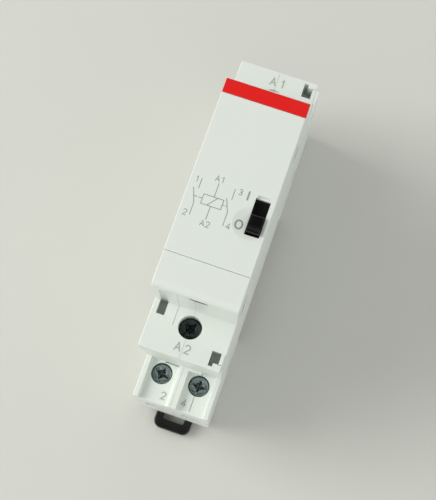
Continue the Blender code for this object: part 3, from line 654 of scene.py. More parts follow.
@dataclass(frozen=True)
class Envelope:
    """Main sizes of the module in millimetres, read from the CAD nodes."""

    half_width: float
    nose_half_width: float
    nose_half: float
    front_z: float
    body_half: float
    rest_z: float
    shoulder_z: float = 46.05

    @classmethod
    def of_frame(cls) -> "Envelope":
        """Measures the housing shell and the cover's pieces.

        Returns:
            The sizes, with the shoulders' height as the CAD draws it.
        """
        low, high = (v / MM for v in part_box("housing_left"))
        cover_low, cover_high = (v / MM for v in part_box("front_cover"))
        foot_low, foot_high = (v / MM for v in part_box("cover_foot"))
        return cls(
            half_width=-low.x,
            nose_half_width=cover_high.x,
            nose_half=-foot_low.y,
            front_z=foot_high.z,
            body_half=high.y,
            rest_z=low.z,
        )


def node_centre(node: str) -> Vector:
    """Middle of a CAD node's box, in millimetres."""
    low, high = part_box(node)
    return (low + high) / 2 / MM


def node_top(node: str) -> float:
    """Top of a CAD node's box, in millimetres."""
    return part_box(node)[1].z / MM


@dataclass
class HousingShell:
    """One half of the body, with its terminal trays, windows, seams and rivet seats.

    Lengths along Y are given for the top end, and the bottom end mirrors them.
    """

    env: Envelope
    side: Side
    wall: float = 1.2
    seam_half: float = 0.02
    shoulder_half: float = 32.65
    shoulder_wall: float = 31.5
    lip_z: float = 40.0
    rib_z: float = 23.7
    tray_z: float = 21.9
    back_z: float = -2.6
    rail_half: float = 17.8
    rail_hold_z: float = -1.3
    floor_z: float = 1.2
    terminal_in: float = 22.3
    pocket_out: float = 39.8
    works_half: float = 21.3
    coil_room_out: float = 30.3
    pocket_top: float = 20.6
    coil_y: float = 26.0
    entry_half: float = 2.2
    hole_r: float = 2.42
    coil_hole_r: float = 2.45
    guide_r: float = 3.1
    over_shoulder: float = 46.4
    window_z: float = 41.8
    lining_x: Span = (5.3, 7.9)
    lining_z: float = 41.4
    rivets: tuple[Point, ...] = ((-25.5, 4.0), (25.5, 4.0), (-17.5, 42.5), (17.5, 42.5))
    rivet_boss_r: float = 2.4
    rivet_hole_r: float = 1.5
    rivet_head_r: float = 2.2
    rivet_sink: float = 0.95
    key_x: float = 2.4
    key_half: float = 6.0
    key_gap: float = 0.3
    pin_marks: tuple[Point, ...] = ((-30.0, 12.0), (30.0, 12.0), (-8.0, 30.0), (10.0, 12.0))
    pin_mark_r: float = 1.3
    pin_mark_depth: float = 0.12

    def across(self, low: float, high: float) -> Span:
        """An X span on this shell's side of the middle."""
        return (low * self.side.value, high * self.side.value)

    def end_block(self, end: End, x: Span, y: Span, z: Span) -> Solid:
        """A block at one end, with y counted outwards from the middle."""
        return Solid.block(x, (end.value * y[0], end.value * y[1]), z)

    def outline(self) -> list[Point]:
        """Side profile: shoulders, trays, back, rail seat, hook and feet.

        Returns:
            Points of (y, z).
        """
        chamfer, foot_end, hook_tip = 1.0, 38.2, 15.3
        outer = [
            (self.env.nose_half - 1.6, self.env.shoulder_z),
            (self.shoulder_half, self.env.shoulder_z),
            (self.shoulder_half, self.lip_z),
            (self.shoulder_wall, self.lip_z),
            (self.shoulder_wall, self.tray_z),
            (self.env.body_half, self.tray_z),
            (self.env.body_half, self.back_z),
            (foot_end, self.back_z),
            (foot_end - chamfer, self.env.rest_z),
        ]
        hook = [
            (hook_tip + chamfer, self.env.rest_z),
            (hook_tip, self.rail_hold_z - chamfer),
            (hook_tip + 0.3, self.rail_hold_z),
            (self.rail_half, self.rail_hold_z),
            (self.rail_half, 0.0),
        ]
        latch_side = [(-self.rail_half, 0.0), (-self.rail_half, self.env.rest_z)]
        return outer + hook + latch_side + [(-y, z) for y, z in reversed(outer)]

    def ribs(self) -> list[Solid]:
        """Tray ribs: an outer one with a soft inner flank, and this side's half of the middle one.

        Returns:
            Two ribs for each end.
        """
        made = []
        root = self.tray_z - 1.0
        for end in End:
            span = (end.value * (self.shoulder_wall - 0.5), end.value * self.env.body_half)
            wide = self.env.half_width
            outer = [(7.2, root), (7.55, self.rib_z), (wide, self.rib_z), (wide, root)]
            top, foot = (0.75, 1.75) if self.side is Side.LEFT else (1.3, 1.45)
            inner = [(self.seam_half, root), (self.seam_half, self.rib_z), (top, self.rib_z), (foot, root)]
            for shape in (outer, inner):
                rib = Solid.prism([(x * self.side.value, z) for x, z in shape], span, "Y")
                made.append(rib.round(SHELL_DRESS, self.seam_half))
        return made

    def pockets(self) -> list[Solid]:
        """The hollow for the works and the terminals.

        Returns:
            Tools that cut it.
        """
        inner = self.across(-1.0, self.env.half_width - self.wall)
        works = (-self.works_half, self.works_half)
        made = [Solid.block(inner, works, (self.floor_z, self.env.shoulder_z + 1))]
        pole_z = (self.floor_z, self.pocket_top)
        coil_z = (self.tray_z, self.env.shoulder_z - self.wall)
        for end in End:
            made.append(self.end_block(end, inner, (self.terminal_in, self.pocket_out), pole_z))
            made.append(self.end_block(end, inner, (self.terminal_in, self.coil_room_out), coil_z))
        return made

    def entries(self, end: End) -> list[Solid]:
        """One end's wire entries, the windows where its conductors reach the works, and its screw holes.

        Args:
            end: which end.

        Returns:
            Tools that cut them.
        """
        pole = node_centre(f"terminal_screw_{self.terminal(end)}")
        half = self.entry_half
        coil_y = end.value * self.coil_y
        pole_radii, coil_radii = (self.hole_r, self.hole_r), (self.coil_hole_r, self.coil_hole_r)
        return [
            self.end_block(end, (pole.x - half, pole.x + half), (39, 42), (8.4, 12.8)),
            self.end_block(end, (-half, half), (30, 33.5), (29.5, 33.9)),
            # funnelled mouth of the coil's entry
            self.end_block(end, (-2.7, 2.7), (31.15, 33.5), (29.0, 34.4)),
            # where the busbar and the coil tongue pass to the works
            self.end_block(end, self.across(2.9, 6.6), (21.0, 22.6), (12.8, 14.2)),
            self.end_block(end, (-half, half), (21.0, 22.6), (33.9, 35.3)),
            Solid.rod((pole.x, pole.y, 20.3), (pole.x, pole.y, 22.2), pole_radii, 96),
            Solid.rod((0, coil_y, 44.5), (0, coil_y, self.over_shoulder), coil_radii, 96),
        ]

    def windows(self, end: End) -> list[Solid]:
        """One end's snap windows in the shoulder, and the fine slits and grooves by shoulder and tray.

        Args:
            end: which end.

        Returns:
            Tools that cut them.
        """
        top, tray = self.over_shoulder, self.tray_z
        if self.side is Side.LEFT:
            return [
                self.end_block(end, (-7.62, -5.84), (22.0, 25.35), (self.window_z, top)),
                self.end_block(end, (-3.6, -3.48), (20.0, 26.65), (45.85, top)),
                self.end_block(end, (-4.35, 1.0), (31.45, 31.72), (tray - 0.7, tray + 0.3)),
            ]
        return [
            self.end_block(end, (5.8, 7.8), (28.9, 31.25), (self.window_z, top)),
            self.end_block(end, (5.8, 6.7), (31.2, 32.0), (self.window_z, top)),
            self.end_block(end, (7.7, 9.0), (31.2, 31.32), (44.0, top)),
            self.end_block(end, (8.5, 9.0), (28.9, 33.0), (38.0, top)),
            self.end_block(end, (4.17, 4.3), (31.2, 40.3), (tray - 0.6, tray + 0.3)),
            self.end_block(end, (2.0, 4.2), (31.2, 31.6), (tray + 2.2, tray + 2.45)),
        ]

    def window_linings(self) -> list[Solid]:
        """Blocks behind the shoulder's snap windows, so that each is a blind pocket.

        Returns:
            One block for each end.
        """
        reach = (21.35, 25.9) if self.side is Side.LEFT else (28.3, self.shoulder_wall)
        heights = (self.lining_z, self.shoulder_z_inside())
        return [self.end_block(end, self.across(*self.lining_x), reach, heights) for end in reversed(End)]

    def shoulder_z_inside(self) -> float:
        """Height well inside the shoulder's wall, where inner blocks join it."""
        return self.env.shoulder_z - self.wall / 2

    def driver_guides(self) -> list[Solid]:
        """This shell's half of the tube that guides a driver to each coil screw.

        Returns:
            One half tube for each end.
        """
        made = []
        for end in reversed(End):
            y = end.value * self.coil_y
            tube = Solid.rod((0, y, 40.35), (0, y, self.shoulder_z_inside()), (self.guide_r, self.guide_r), 64)
            tube.cut(Solid.rod((0, y, 39), (0, y, 50), (self.coil_hole_r, self.coil_hole_r), 96))
            tube.keep(self.end_block(end, self.across(self.seam_half, 4), (22, 30), (40, 46)))
            made.append(tube)
        return made

    def terminal(self, end: End) -> str:
        """Name of this shell's pole terminal at one end."""
        left, right = ("1", "3") if end is End.TOP else ("2", "4")
        return left if self.side is Side.LEFT else right

    def foot_ledges(self) -> list[Solid]:
        """Small step of the right shell at the foot of each recessed wall, over the trays.

        Returns:
            One rounded block for each end, and none for the left shell.
        """
        if self.side is Side.LEFT:
            return []
        heights = (self.tray_z - 0.2, self.tray_z + 2.2)
        ledges = [self.end_block(end, (0.6, 4.2), (31.3, 32.0), heights) for end in reversed(End)]
        return [ledge.round(FINE_DRESS) for ledge in ledges]

    def latch_channel(self) -> list[Solid]:
        """Channel and guide groove of the rail latch.

        Returns:
            Tools that cut them.
        """
        below, slide_z = self.env.rest_z - 1, -2.7
        return [
            Solid.block(self.across(-1.0, 4.9), (-42, -17), (below, slide_z)),
            Solid.block(self.across(3.0, 5.9), (-42, -19.5), (-4.4, slide_z)),
            Solid.block(self.across(-1.0, 4.9), (-21.8, -17), (below, -1.0)),
        ]

    def side_marks(self) -> list[Solid]:
        """Shallow marks that the mould's ejector pins leave on the flat side.

        Returns:
            Tools that sink them.
        """
        far = self.env.half_width * self.side.value
        deep = far - self.pin_mark_depth * self.side.value
        radii = (self.pin_mark_r, self.pin_mark_r)
        return [Solid.rod((deep, y, z), (far * 1.05, y, z), radii) for y, z in self.pin_marks]

    def rivet_bosses(self) -> list[Solid]:
        """Posts that carry the rivets from the outer wall to near the parting line.

        Returns:
            One post for each rivet.
        """
        s = self.side.value
        inner_x = self.env.half_width - self.wall + 0.5
        radii = (self.rivet_boss_r, self.rivet_boss_r)
        return [Solid.rod((s * 0.15, y, z), (s * inner_x, y, z), radii, 32) for y, z in self.rivets]

    def rivet_seats(self) -> list[Solid]:
        """Each rivet's hole and the seat of its head.

        Returns:
            Tools that cut them.
        """
        s = self.side.value
        far = s * (self.env.half_width + 1)
        seat = s * (self.env.half_width - self.rivet_sink)
        made = []
        for y, z in self.rivets:
            made.append(Solid.rod((-s, y, z), (far, y, z), (self.rivet_hole_r, self.rivet_hole_r), 32))
            made.append(Solid.rod((seat, y, z), (far, y, z), (self.rivet_head_r, self.rivet_head_r), 40))
        return made

    def build(self) -> bpy.types.Object:
        """Makes the shell's mesh and dresses it.

        Returns:
            The shell.
        """
        name = "housing_left" if self.side is Side.LEFT else "housing_right"
        shell = Solid.prism(self.outline(), self.across(self.seam_half, self.env.half_width))
        shell.round(SHELL_DRESS, self.seam_half)
        shell.fuse(*self.ribs())
        shell.cut(*self.pockets())
        shell.fuse(*self.rivet_bosses())
        shell.cut(*self.rivet_seats())
        shell.fuse(*self.window_linings(), *self.driver_guides())
        shell.cut(*[tool for end in End for tool in self.entries(end) + self.windows(end)])
        shell.fuse(*self.foot_ledges())
        shell.cut(*self.latch_channel(), *self.side_marks())
        # a key on the left shell's floor lies in a notch of the right one
        if self.side is Side.LEFT:
            shell.fuse(Solid.block((-1, self.key_x), (-self.key_half, self.key_half), (0.0, self.floor_z)))
        else:
            half = self.key_half + self.key_gap
            shell.cut(Solid.block((-1, self.key_x + self.key_gap), (-half, half), (-1.0, self.floor_z + 1)))
        return show(shell, f"{name}_shell", "housing", SHELL_DRESS, [name])


@dataclass
class Nose:
    """The front: cover with its slot and thumb dish, foot piece, and header strip."""

    env: Envelope
    inner_x: float = 7.85
    ceiling: float = 58.2
    seam_y: float = -15.24
    seam: float = 0.07
    band_y: float = 19.05
    lip: float = 0.3
    slot_x: Span = (4.72, 7.78)
    slot_y: Span = (-7.4, 0.3)
    dish: tuple[float, float, float] = (5.2, -5.2, 0.42)
    dish_r: Point = (3.4, 3.3)
    dish_height: float = 2.4
    # the gap's tool falls by this much for each millimetre of depth, so that no light gets in and it reads dark
    gap_slope: float = 4.0
    end_wall: float = 1.06
    line_depth: float = 0.1
    leg_y: Span = (9.5, 12.0)
    foot_round: float = 1.5

    def dish_radii(self) -> list[float]:
        """Half axes in X and Y of the dish's ellipsoid, which gives the dish its outline at its depth."""
        share = 1 - (1 - self.dish[2] / self.dish_height) ** 2
        return [r / math.sqrt(share) for r in self.dish_r]

    def dish_tool(self) -> Solid:
        """Ellipsoid that presses the thumb's dish round the slot's lower half."""
        x, y, depth = self.dish
        centre = (x, y, self.env.front_z + self.dish_height - depth)
        return Solid.ball(centre, (*self.dish_radii(), self.dish_height))

    def sink(self, x: float, y: float) -> float:
        """How far the front lies below its plane at a point, for print that follows the dish.

        Args:
            x: the point across the width.
            y: the point along the device.

        Returns:
            The depth in millimetres, 0 outside the dish.
        """
        centre_x, centre_y, depth = self.dish
        height = self.dish_height
        radii = self.dish_radii()
        inside = 1 - ((x - centre_x) / radii[0]) ** 2 - ((y - centre_y) / radii[1]) ** 2
        if inside <= 0:
            return 0.0
        return max(0.0, height * math.sqrt(inside) - height + depth)

    def cover(self) -> bpy.types.Object:
        """The hood from the seam to the top end, with the seat for the header strip.

        Returns:
            The cover.
        """
        env = self.env
        half = env.nose_half
        seat = env.front_z - 0.8
        low = self.seam_y + self.seam / 2
        outline = [
            (low, env.shoulder_z),
            (low, env.front_z),
            (self.band_y - 0.04, env.front_z),
            (self.band_y - 0.04, seat),
            (half - self.lip, seat),
            (half - self.lip, env.front_z - 0.02),
            (half, env.front_z - 0.25),
            (half, env.shoulder_z),
        ]
        hood = Solid.prism(outline, (-env.nose_half_width, env.nose_half_width)).round(COVER_DRESS)
        hood.cut(
            Solid.block((-self.inner_x, self.inner_x), (-16.3, half - self.end_wall), (45, self.ceiling - 0.6)),
            Solid.block((-self.inner_x, self.inner_x), (-16.3, 8), (46, self.ceiling)),
            self.dish_tool(),
            Solid.block(self.slot_x, self.slot_y, (57, 61)),
            # the slot's upper edge is bevelled
            Solid.prism(
                [(0.25, 59.0), (0.25, 60.0), (1.15, 60.0), (0.6, 59.0)],
                (self.slot_x[0] + 0.3, self.slot_x[1]),
            ),
        )
        for side in Side:
            s = side.value
            hood.fuse(
                Solid.block((s * 6.4, s * 8.2), self.leg_y, (47, 50)),
                Solid.block((s * 6.4, s * 7.25), self.leg_y, (42, 49)),
            )
        hood.fuse(Solid.block((-3, 3), (20.2, half - 0.5), (47, 50)), Solid.block((-3, 3), (20.2, 21), (41, 49)))
        return show(hood, "front_cover_hood", "housing", COVER_DRESS, ["front_cover"])

    def foot(self) -> bpy.types.Object:
        """The lower end piece with its rounded front edge, lift groove and arched gap.

        Returns:
            The foot piece.
        """
        env = self.env
        half = env.nose_half
        high = self.seam_y - self.seam / 2
        r = self.foot_round
        line = (-half - 1, -half + self.line_depth)
        outline = [(high, env.shoulder_z), (high, env.front_z)]
        outline += arc((-half + r, env.front_z - r), (r, r), 90, 180, 12)
        outline.append((-half, env.shoulder_z))
        piece = Solid.prism(outline, (-env.nose_half_width, env.nose_half_width)).round(SHELL_DRESS)
        gap = Solid.prism(arc((0.7, 57.45), (2.0, 0.95), 180, 360, 16), (-half - 1, -half + 1.1), "Y")
        for vert in gap.obj.data.vertices:
            vert.co.z -= self.gap_slope * (vert.co.y + half * MM)
        piece.cut(
            Solid.block((-self.inner_x, self.inner_x), (-14, -half + self.end_wall), (45, self.ceiling)),
            Solid.block((-7.5, -5.9), (-half - 1, -half + 0.5), (45, 56)),
            gap,
            Solid.block((-3.58, -3.5), line, (45, 57.9)),
            Solid.block((0.0, 0.08), line, (45, 56.8)),
        )
        piece.fuse(
            Solid.block((-3, 3), (-20.2, -half + 0.5), (47, 50)), Solid.block((-3, 3), (-20.2, -21), (41, 49))
        )
        return show(piece, "cover_foot_cap", "housing", SHELL_DRESS, ["cover_foot"])

    def header(self) -> bpy.types.Object:
        """The coloured strip in its seat by the top end.

        Returns:
            The strip.
        """
        env = self.env
        top = env.front_z - 0.02
        strip = Solid.block(
            (-env.nose_half_width, env.nose_half_width),
            (self.band_y + 0.02, env.nose_half - self.lip - 0.03),
            (env.front_z - 0.78, top),
        ).round(HEADER_DRESS)
        return show(strip, "header_strip_insert", "housing", HEADER_DRESS, ["header_strip"])


@dataclass
class Slider:
    """Black thumb slide: cover plate, crowned thumb with fine grips, and drive leg."""

    env: Envelope
    plate_z: Span = (56.6, 57.9)
    thumb_y: Span = (-7.0, -3.3)
    thumb_x: Span = (4.92, 7.6)
    proud: float = 1.0
    crown_steps: int = 8
    grips_y: tuple[float, ...] = (-5.95, -5.35, -4.75)
    grip_half: float = 0.12

    def build(self) -> bpy.types.Object:
        """Makes the slide's mesh and dresses it.

        Returns:
            The slide.
        """
        low, high = self.thumb_y
        top = self.env.front_z + self.proud
        plate = Solid.block((3.6, 7.5), (-11.6, 1.2), self.plate_z).round(SLIDER_DRESS)
        profile = [(low, self.plate_z[0] + 0.2), (low, top - 0.3), (low + 0.12, top - 0.14)]
        for i in range(self.crown_steps + 1):
            share = i / self.crown_steps
            y = low + 0.35 + (high - 0.2 - low - 0.35) * share
            profile.append((y, top - 0.1 - 0.2 * math.sin(math.pi * share)))
        profile += [(high, top - 0.3), (high, self.plate_z[0] + 0.2)]
        thumb = Solid.prism(profile, self.thumb_x).round(SLIDER_DRESS)
        grips = []
        for y in self.grips_y:
            tool = [(y - self.grip_half, top + 0.3), (y, top - 0.36), (y + self.grip_half, top + 0.3)]
            grips.append(Solid.prism(tool, (self.thumb_x[0] + 0.5, self.thumb_x[1] - 0.5)))
        thumb.cut(*grips)
        plate.fuse(thumb, Solid.block((4.9, 6.3), (-8.4, -6.9), (51.6, self.plate_z[0] + 0.5)))
        return show(plate, "slider_thumb", "contact_slide", SLIDER_DRESS, ["manual_slider"])


@dataclass
class TerminalScrew:
    """Combination head screw, with a slotted cross recess and a turned shank."""

    label: str
    turn_deg: float
    head_r: float = 2.25
    head_h: float = 1.7
    shank_r: float = 1.5
    length: float = 6.7
    # how far the head stands above the CAD's, as the coil screws' do
    rise: float = 0.0
    pitch: float = 0.6
    wing: float = 0.36
    tip: float = 1.42
    depth: float = 1.15
    slot_half: float = 0.2

    def profile(self) -> list[Point]:
        """Half section with its thread and crowned head, from the shank's end to the head's top at 0.

        Returns:
            Points of (radius, height).
        """
        made = [(0.0, -self.length), (self.shank_r - 0.35, -self.length), (self.shank_r, -self.length + 0.4)]
        for i in range(int((self.length - self.head_h - 0.8) / self.pitch)):
            z = -self.length + 0.5 + i * self.pitch
            made += [(self.shank_r, z), (self.shank_r - 0.18, z + self.pitch / 2)]
        made += [(self.shank_r, -self.head_h - 0.15), (self.shank_r, -self.head_h)]
        made += [(self.head_r - 0.1, -self.head_h), (self.head_r, -self.head_h + 0.12), (self.head_r, -0.42)]
        made += arc((self.head_r - 0.42, -0.42), (0.42, 0.38), 0, 90, 6)
        return made + [(0.0, 0.0)]

    def recess(self, at: Point, top: float) -> list[Solid]:
        """Four wings of the cross, its tapered middle, and the slot across the head.

        Args:
            at: the screw's axis.
            top: height of the head's top.

        Returns:
            Tools that cut the recess.
        """
        x, y = at
        wing, tip = self.wing, self.tip
        arm = [(0.0, -wing), (tip * 0.72, -wing), (tip, -wing * 0.62), (tip, wing * 0.62), (tip * 0.72, wing)]
        arm.append((0.0, wing))
        tools = []
        for quarter in range(4):
            turn = math.radians(90 * quarter)
            spun = [
                (x + px * math.cos(turn) - py * math.sin(turn), y + px * math.sin(turn) + py * math.cos(turn))
                for px, py in arm
            ]
            tools.append(Solid.prism(spun, (top - self.depth, top + 1), "Z"))
        tools.append(Solid.rod((x, y, top - self.depth - 0.25), (x, y, top + 0.1), (0.35, 1.0), 24))
        across = (x - self.slot_half, x + self.slot_half)
        tools.append(Solid.block(across, (y - self.head_r - 1, y + self.head_r + 1), (top - 0.5, top + 1)))
        return tools

    def build(self) -> bpy.types.Object:
        """Makes the screw's mesh, turns it about its axis and dresses it.

        Returns:
            The screw.
        """
        node = f"terminal_screw_{self.label}"
        centre = node_centre(node)
        top = node_top(node) + self.rise
        at = Vector((centre.x, centre.y, top))
        screw = Solid.lathe(self.profile(), (centre.x, centre.y, top), 56)
        screw.cut(*self.recess((centre.x, centre.y), top))
        spin = Matrix.Translation(at * MM) @ Matrix.Rotation(math.radians(self.turn_deg), 4, "Z")
        screw.obj.data.transform(spin @ Matrix.Translation(-at * MM))
        dress = COIL_SCREW_DRESS if self.label.startswith("A") else SCREW_DRESS
        obj = show(screw, f"combi_screw_{self.label}", f"screw_{self.label}", dress, [node])
        self.paint_recess_shade(obj, top)
        return obj

    def paint_recess_shade(self, obj: bpy.types.Object, top: float) -> None:
        """Paints shade on the recess's floor and flanks with the darker recess finish.

        Args:
            obj: the screw.
            top: height of the head's top.
        """
        obj.data.materials.append(RECESS_SHADE.material())
        centre = node_centre(f"terminal_screw_{self.label}")
        for face in obj.data.polygons:
            spot = face.center / MM
            radius = math.hypot(spot.x - centre.x, spot.y - centre.y)
            if radius < 1.5 and top - 1.6 < spot.z < top - 0.05:
                face.material_index = 2


@dataclass
class Latch:
    """Rail latch: pull ring, guide flanges, spring arms and hook nose."""

    half_x: float = 4.6
    z: Span = (-5.2, -3.0)
    out: float = 44.7
    nose: float = 15.4
    round_r: float = 1.9
    window_r: float = 0.5
    grips_y: tuple[float, ...] = (-36.2, -35.4)

    def build(self) -> bpy.types.Object:
        """Makes the latch's mesh and dresses it.

        Returns:
            The latch.
        """
        r = self.round_r
        low, high = self.z
        corners = arc((-self.half_x + r, -self.out + r), (r, r), 180, 270, 10)
        corners += arc((self.half_x - r, -self.out + r), (r, r), 270, 360, 10)
        outline = [(-self.half_x, -self.nose), *corners, (self.half_x, -self.nose)]
        latch = Solid.prism(outline, self.z, "Z").round(LATCH_DRESS)
        hook = [(-17.5, low + 0.5), (-self.nose, low + 0.5), (-self.nose, -2.3), (-16.3, -1.3), (-17.5, -1.3)]
        latch.fuse(
            Solid.prism(hook, (-self.half_x + 0.3, self.half_x - 0.3)),
            Solid.block((-5.6, 5.6), (-34, -23), (-4.1, high)),
        )
        window = []
        places = (((-2.2, -41.85), 180), ((2.2, -41.85), 270), ((2.2, -38.1), 0), ((-2.2, -38.1), 90))
        for corner, start in places:
            window += arc(corner, (self.window_r, self.window_r), start, start + 90, 5)
        tools = [Solid.prism(window, (low - 1, 1), "Z")]
        # slits that leave the spring arms free at the sides
        for side in Side:
            tools.append(Solid.block((side.value * 1.6, side.value * 2.4), (-34, -24), (low - 1, 1)))
        for y in self.grips_y:
            tools.append(Solid.block((-3.6, 3.6), (y - 0.12, y + 0.12), (low - 1, low + 0.25)))
        latch.cut(*tools)
        return show(latch, "rail_latch", "latch", LATCH_DRESS, ["din_latch"])


@dataclass
class ArmatureSpring:
    """Return spring under the armature's free end, squeezed as the armature closes."""

    turns: float = 6.5
    wire: float = 0.16
    keep: float = 0.63

    def build(self) -> bpy.types.Object:
        """Winds the spring between its seats.

        Returns:
            The spring.
        """
        low, high = (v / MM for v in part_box("armature_spring"))
        centre = (low + high) / 2
        radius = (high.x - low.x) / 2 - self.wire
        spring = Solid.coil((centre.x, centre.y, low.z), high.z - low.z, radius, self.wire, self.turns)
        obj = show(spring, "armature_return_spring", "housing", SPRING_DRESS, ["armature_spring"])
        obj.modifiers.clear()
        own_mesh(obj)
        return obj


GLYPHS: dict[str, list[list[Point]]] = {
    "1": [[(0.12, 0.78), (0.38, 1.0), (0.38, 0.0)]],
    "2": [arc((0.32, 0.7), (0.3, 0.3), 165, -30, 10) + [(0.02, 0.0), (0.64, 0.0)]],
    "3": [arc((0.3, 0.75), (0.27, 0.25), 150, -90, 8) + arc((0.3, 0.27), (0.31, 0.27), 88, -150, 8)],
    "4": [[(0.46, 0.0), (0.46, 1.0), (0.0, 0.28), (0.66, 0.28)]],
    "A": [[(0.0, 0.0), (0.34, 1.0), (0.68, 0.0)], [(0.12, 0.34), (0.56, 0.34)]],
    "I": [[(0.1, 0.0), (0.1, 1.0)]],
}


@dataclass
class Lettering:
    """Terminal marks and switch symbols, drawn as even strokes."""

    height: float
    width: float
    z: Span
    dress: Dress
    sink: Callable[[float, float], float] = lambda x, y: 0.0
    gap: float = 0.3
    made: int = 0

    def write(self, name: str, text: str, centre: Point) -> None:
        """Writes a short mark centred on a point.

        Args:
            name: base name of the pieces.
            text: characters of GLYPHS; a space leaves half a letter.
            centre: middle of the mark.
        """
        cells = [0.4 if c == " " else 0.2 if c == "I" else 0.66 for c in text]
        total = sum(cells) + self.gap * (len(text) - 1)
        x = -total / 2
        strokes = []
        for char, cell in zip(text, cells):
            for path in GLYPHS.get(char, []):
                strokes.append([(x + px, py - 0.5) for px, py in path])
            x += cell + self.gap
        for path in strokes:
            self.stroke(name, [(centre[0] + px * self.height, centre[1] + py * self.height) for px, py in path])

    def stroke(self, name: str, path: Sequence[Point], closed: bool = False) -> None:
        """Lays one stroke on the surface.

        Args:
            name: base name of the piece.
            path: points of (x, y) along its middle.
            closed: whether the last point leads back to the first.
        """
        self.made += 1
        mark = Solid.ribbon(path, self.width, self.z, closed)
        for vert in mark.obj.data.vertices:
            vert.co.z -= self.sink(vert.co.x / MM, vert.co.y / MM) * MM
        show(mark, f"{name}_{self.made}", "housing", self.dress)


@dataclass
class Markings:
    """Printed circuit diagram, switch symbols and raised terminal numbers."""

    env: Envelope
    nose: Nose

    def diagram(self) -> None:
        """Coil box with its leads, and the two contacts that it drives."""
        film = (self.env.front_z - 0.02, self.env.front_z + 0.012)
        thin = Lettering(1.15, 0.16, film, INK_DRESS)
        lines = [
            [(-3.04, 0.62), (-3.04, -2.3)],
            [(-2.29, -2.36), (-3.87, -4.3)],
            [(-3.12, -4.36), (-3.12, -7.1)],
            [(-6.5, 0.56), (-6.5, -1.65)],
            [(-7.5, -1.65), (-6.45, -4.58), (-6.45, -7.19)],
            [(-6.95, -3.28), (-6.25, -3.28)],
            [(-5.95, -3.28), (-5.2, -3.28)],
            [(0.34, 0.59), (0.34, -1.69)],
            [(-0.68, -1.74), (0.38, -4.44), (0.38, -7.25)],
            [(-1.0, -3.3), (-0.62, -3.3)],
            [(-0.42, -3.3), (-0.1, -3.3)],
        ]
        for path in lines:
            thin.stroke("diagram_line", path)
        box = [(-5.14, -2.34), (-1.04, -2.34), (-1.04, -4.34), (-5.14, -4.34)]
        thin.stroke("diagram_coil", box, closed=True)
        for text, spot in (("A1", (-3.05, 1.5)), ("A2", (-3.0, -8.0)), ("1", (-7.35, 0.15))):
            thin.write("diagram_mark", text, spot)
        for text, spot in (("2", (-7.45, -6.95)), ("3", (1.55, 0.3)), ("4", (1.4, -7.0))):
            thin.write("diagram_mark", text, spot)

    def switch_symbols(self) -> None:
        """The bar and the ring beside the slide's two places."""
        film = (self.env.front_z - 0.02, self.env.front_z + 0.012)
        bold = Lettering(1.9, 0.36, film, INK_DRESS)
        bold.write("symbol_on", "I", (3.17, 0.08))
        ring = Lettering(1.9, 0.36, film, INK_DRESS, self.nose.sink)
        ring.stroke("symbol_off", arc((3.2, -5.92), (0.68, 0.86), 0, 348.75, 31), closed=True)

    def terminal_numbers(self) -> None:
        """Raised numbers beside each screw, as the terminals are numbered by rule."""
        shoulder = (self.env.shoulder_z - 0.1, self.env.shoulder_z + 0.08)
        tray = (21.8, 22.0)
        coil = Lettering(1.75, 0.24, shoulder, MARK_SHADE_DRESS)
        coil.write("mark_A2", "A", (-1.1, -30.4))
        coil.write("mark_A2", "2", (0.95, -30.4))
        coil.write("mark_A1", "A", (-0.85, 30.2))
        coil.write("mark_A1", "1", (1.3, 30.2))
        pole = Lettering(1.6, 0.24, tray, MARK_SHADE_DRESS)
        pole.write("mark_2", "2", (-2.4, -38.9))
        pole.write("mark_4", "4", (2.5, -38.9))
        pole.write("mark_1", "1", (-2.4, 38.9))
        pole.write("mark_3", "3", (2.5, 38.9))

    def build(self) -> None:
        """Makes every mark."""
        self.diagram()
        self.switch_symbols()
        self.terminal_numbers()


@dataclass(frozen=True)
class CarriedNodes:
    """CAD nodes that keep their shape, with the finish and the edge width each gets."""

    finish: Finish
    nodes: tuple[str, ...]
    edge_mm: float = 0.08

    def dress(self) -> None:
        """Gives each node its material and slightly rounded edges."""
        for name in self.nodes:
            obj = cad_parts[name]
            obj.data.materials.clear()
            obj.data.materials.append(self.finish.material())
            obj.data.polygons.foreach_set("material_index", [0] * len(obj.data.polygons))
            if self.edge_mm:
                rounded = obj.modifiers.new("rounded_edges", "BEVEL")
                rounded.width = self.edge_mm * MM
                rounded.segments = 2
                rounded.limit_method = "ANGLE"
                rounded.angle_limit = math.radians(50)
                rounded.use_clamp_overlap = True
            LOG.info("%s dressed in %s", name, self.finish.name)


TERMINALS = ("1", "2", "3", "4", "A1", "A2")
WORKS = (
    CarriedNodes(ZINC, tuple(f"clamp_cage_{t}" for t in TERMINALS), 0.12),
    CarriedNodes(ZINC, tuple(f"shell_rivet_{i}" for i in range(1, 5)), 0.1),
    CarriedNodes(BRASS, tuple(f"busbar_{t}" for t in "1234")),
    CarriedNodes(BRASS, ("coil_tongue_A1", "coil_tongue_A2", "contact_blade_2", "contact_blade_4")),
    CarriedNodes(SILVER, ("fixed_contact_1", "fixed_contact_3", "moving_contact_2", "moving_contact_4")),
    CarriedNodes(INSULATOR, ("contact_carriage", "coil_bobbin"), 0.15),
    CarriedNodes(INSULATOR, ("pole_barrier_top", "pole_barrier_bottom"), 0.15),
    CarriedNodes(IRON, ("coil_core", "yoke", "armature"), 0.15),
    CarriedNodes(COPPER, ("coil_winding", "winding_start_lead", "winding_end_lead"), 0.0),
    CarriedNodes(BOARD, ("rectifier_board",)),
    CarriedNodes(BLACK, ("bridge_rectifier",), 0.15),
    CarriedNodes(DIPPED, ("varistor",), 0.2),
    CarriedNodes(LEAD, ("a1_lead",), 0.0),
)


# ---- studio ---------------------------------------------------------------------------


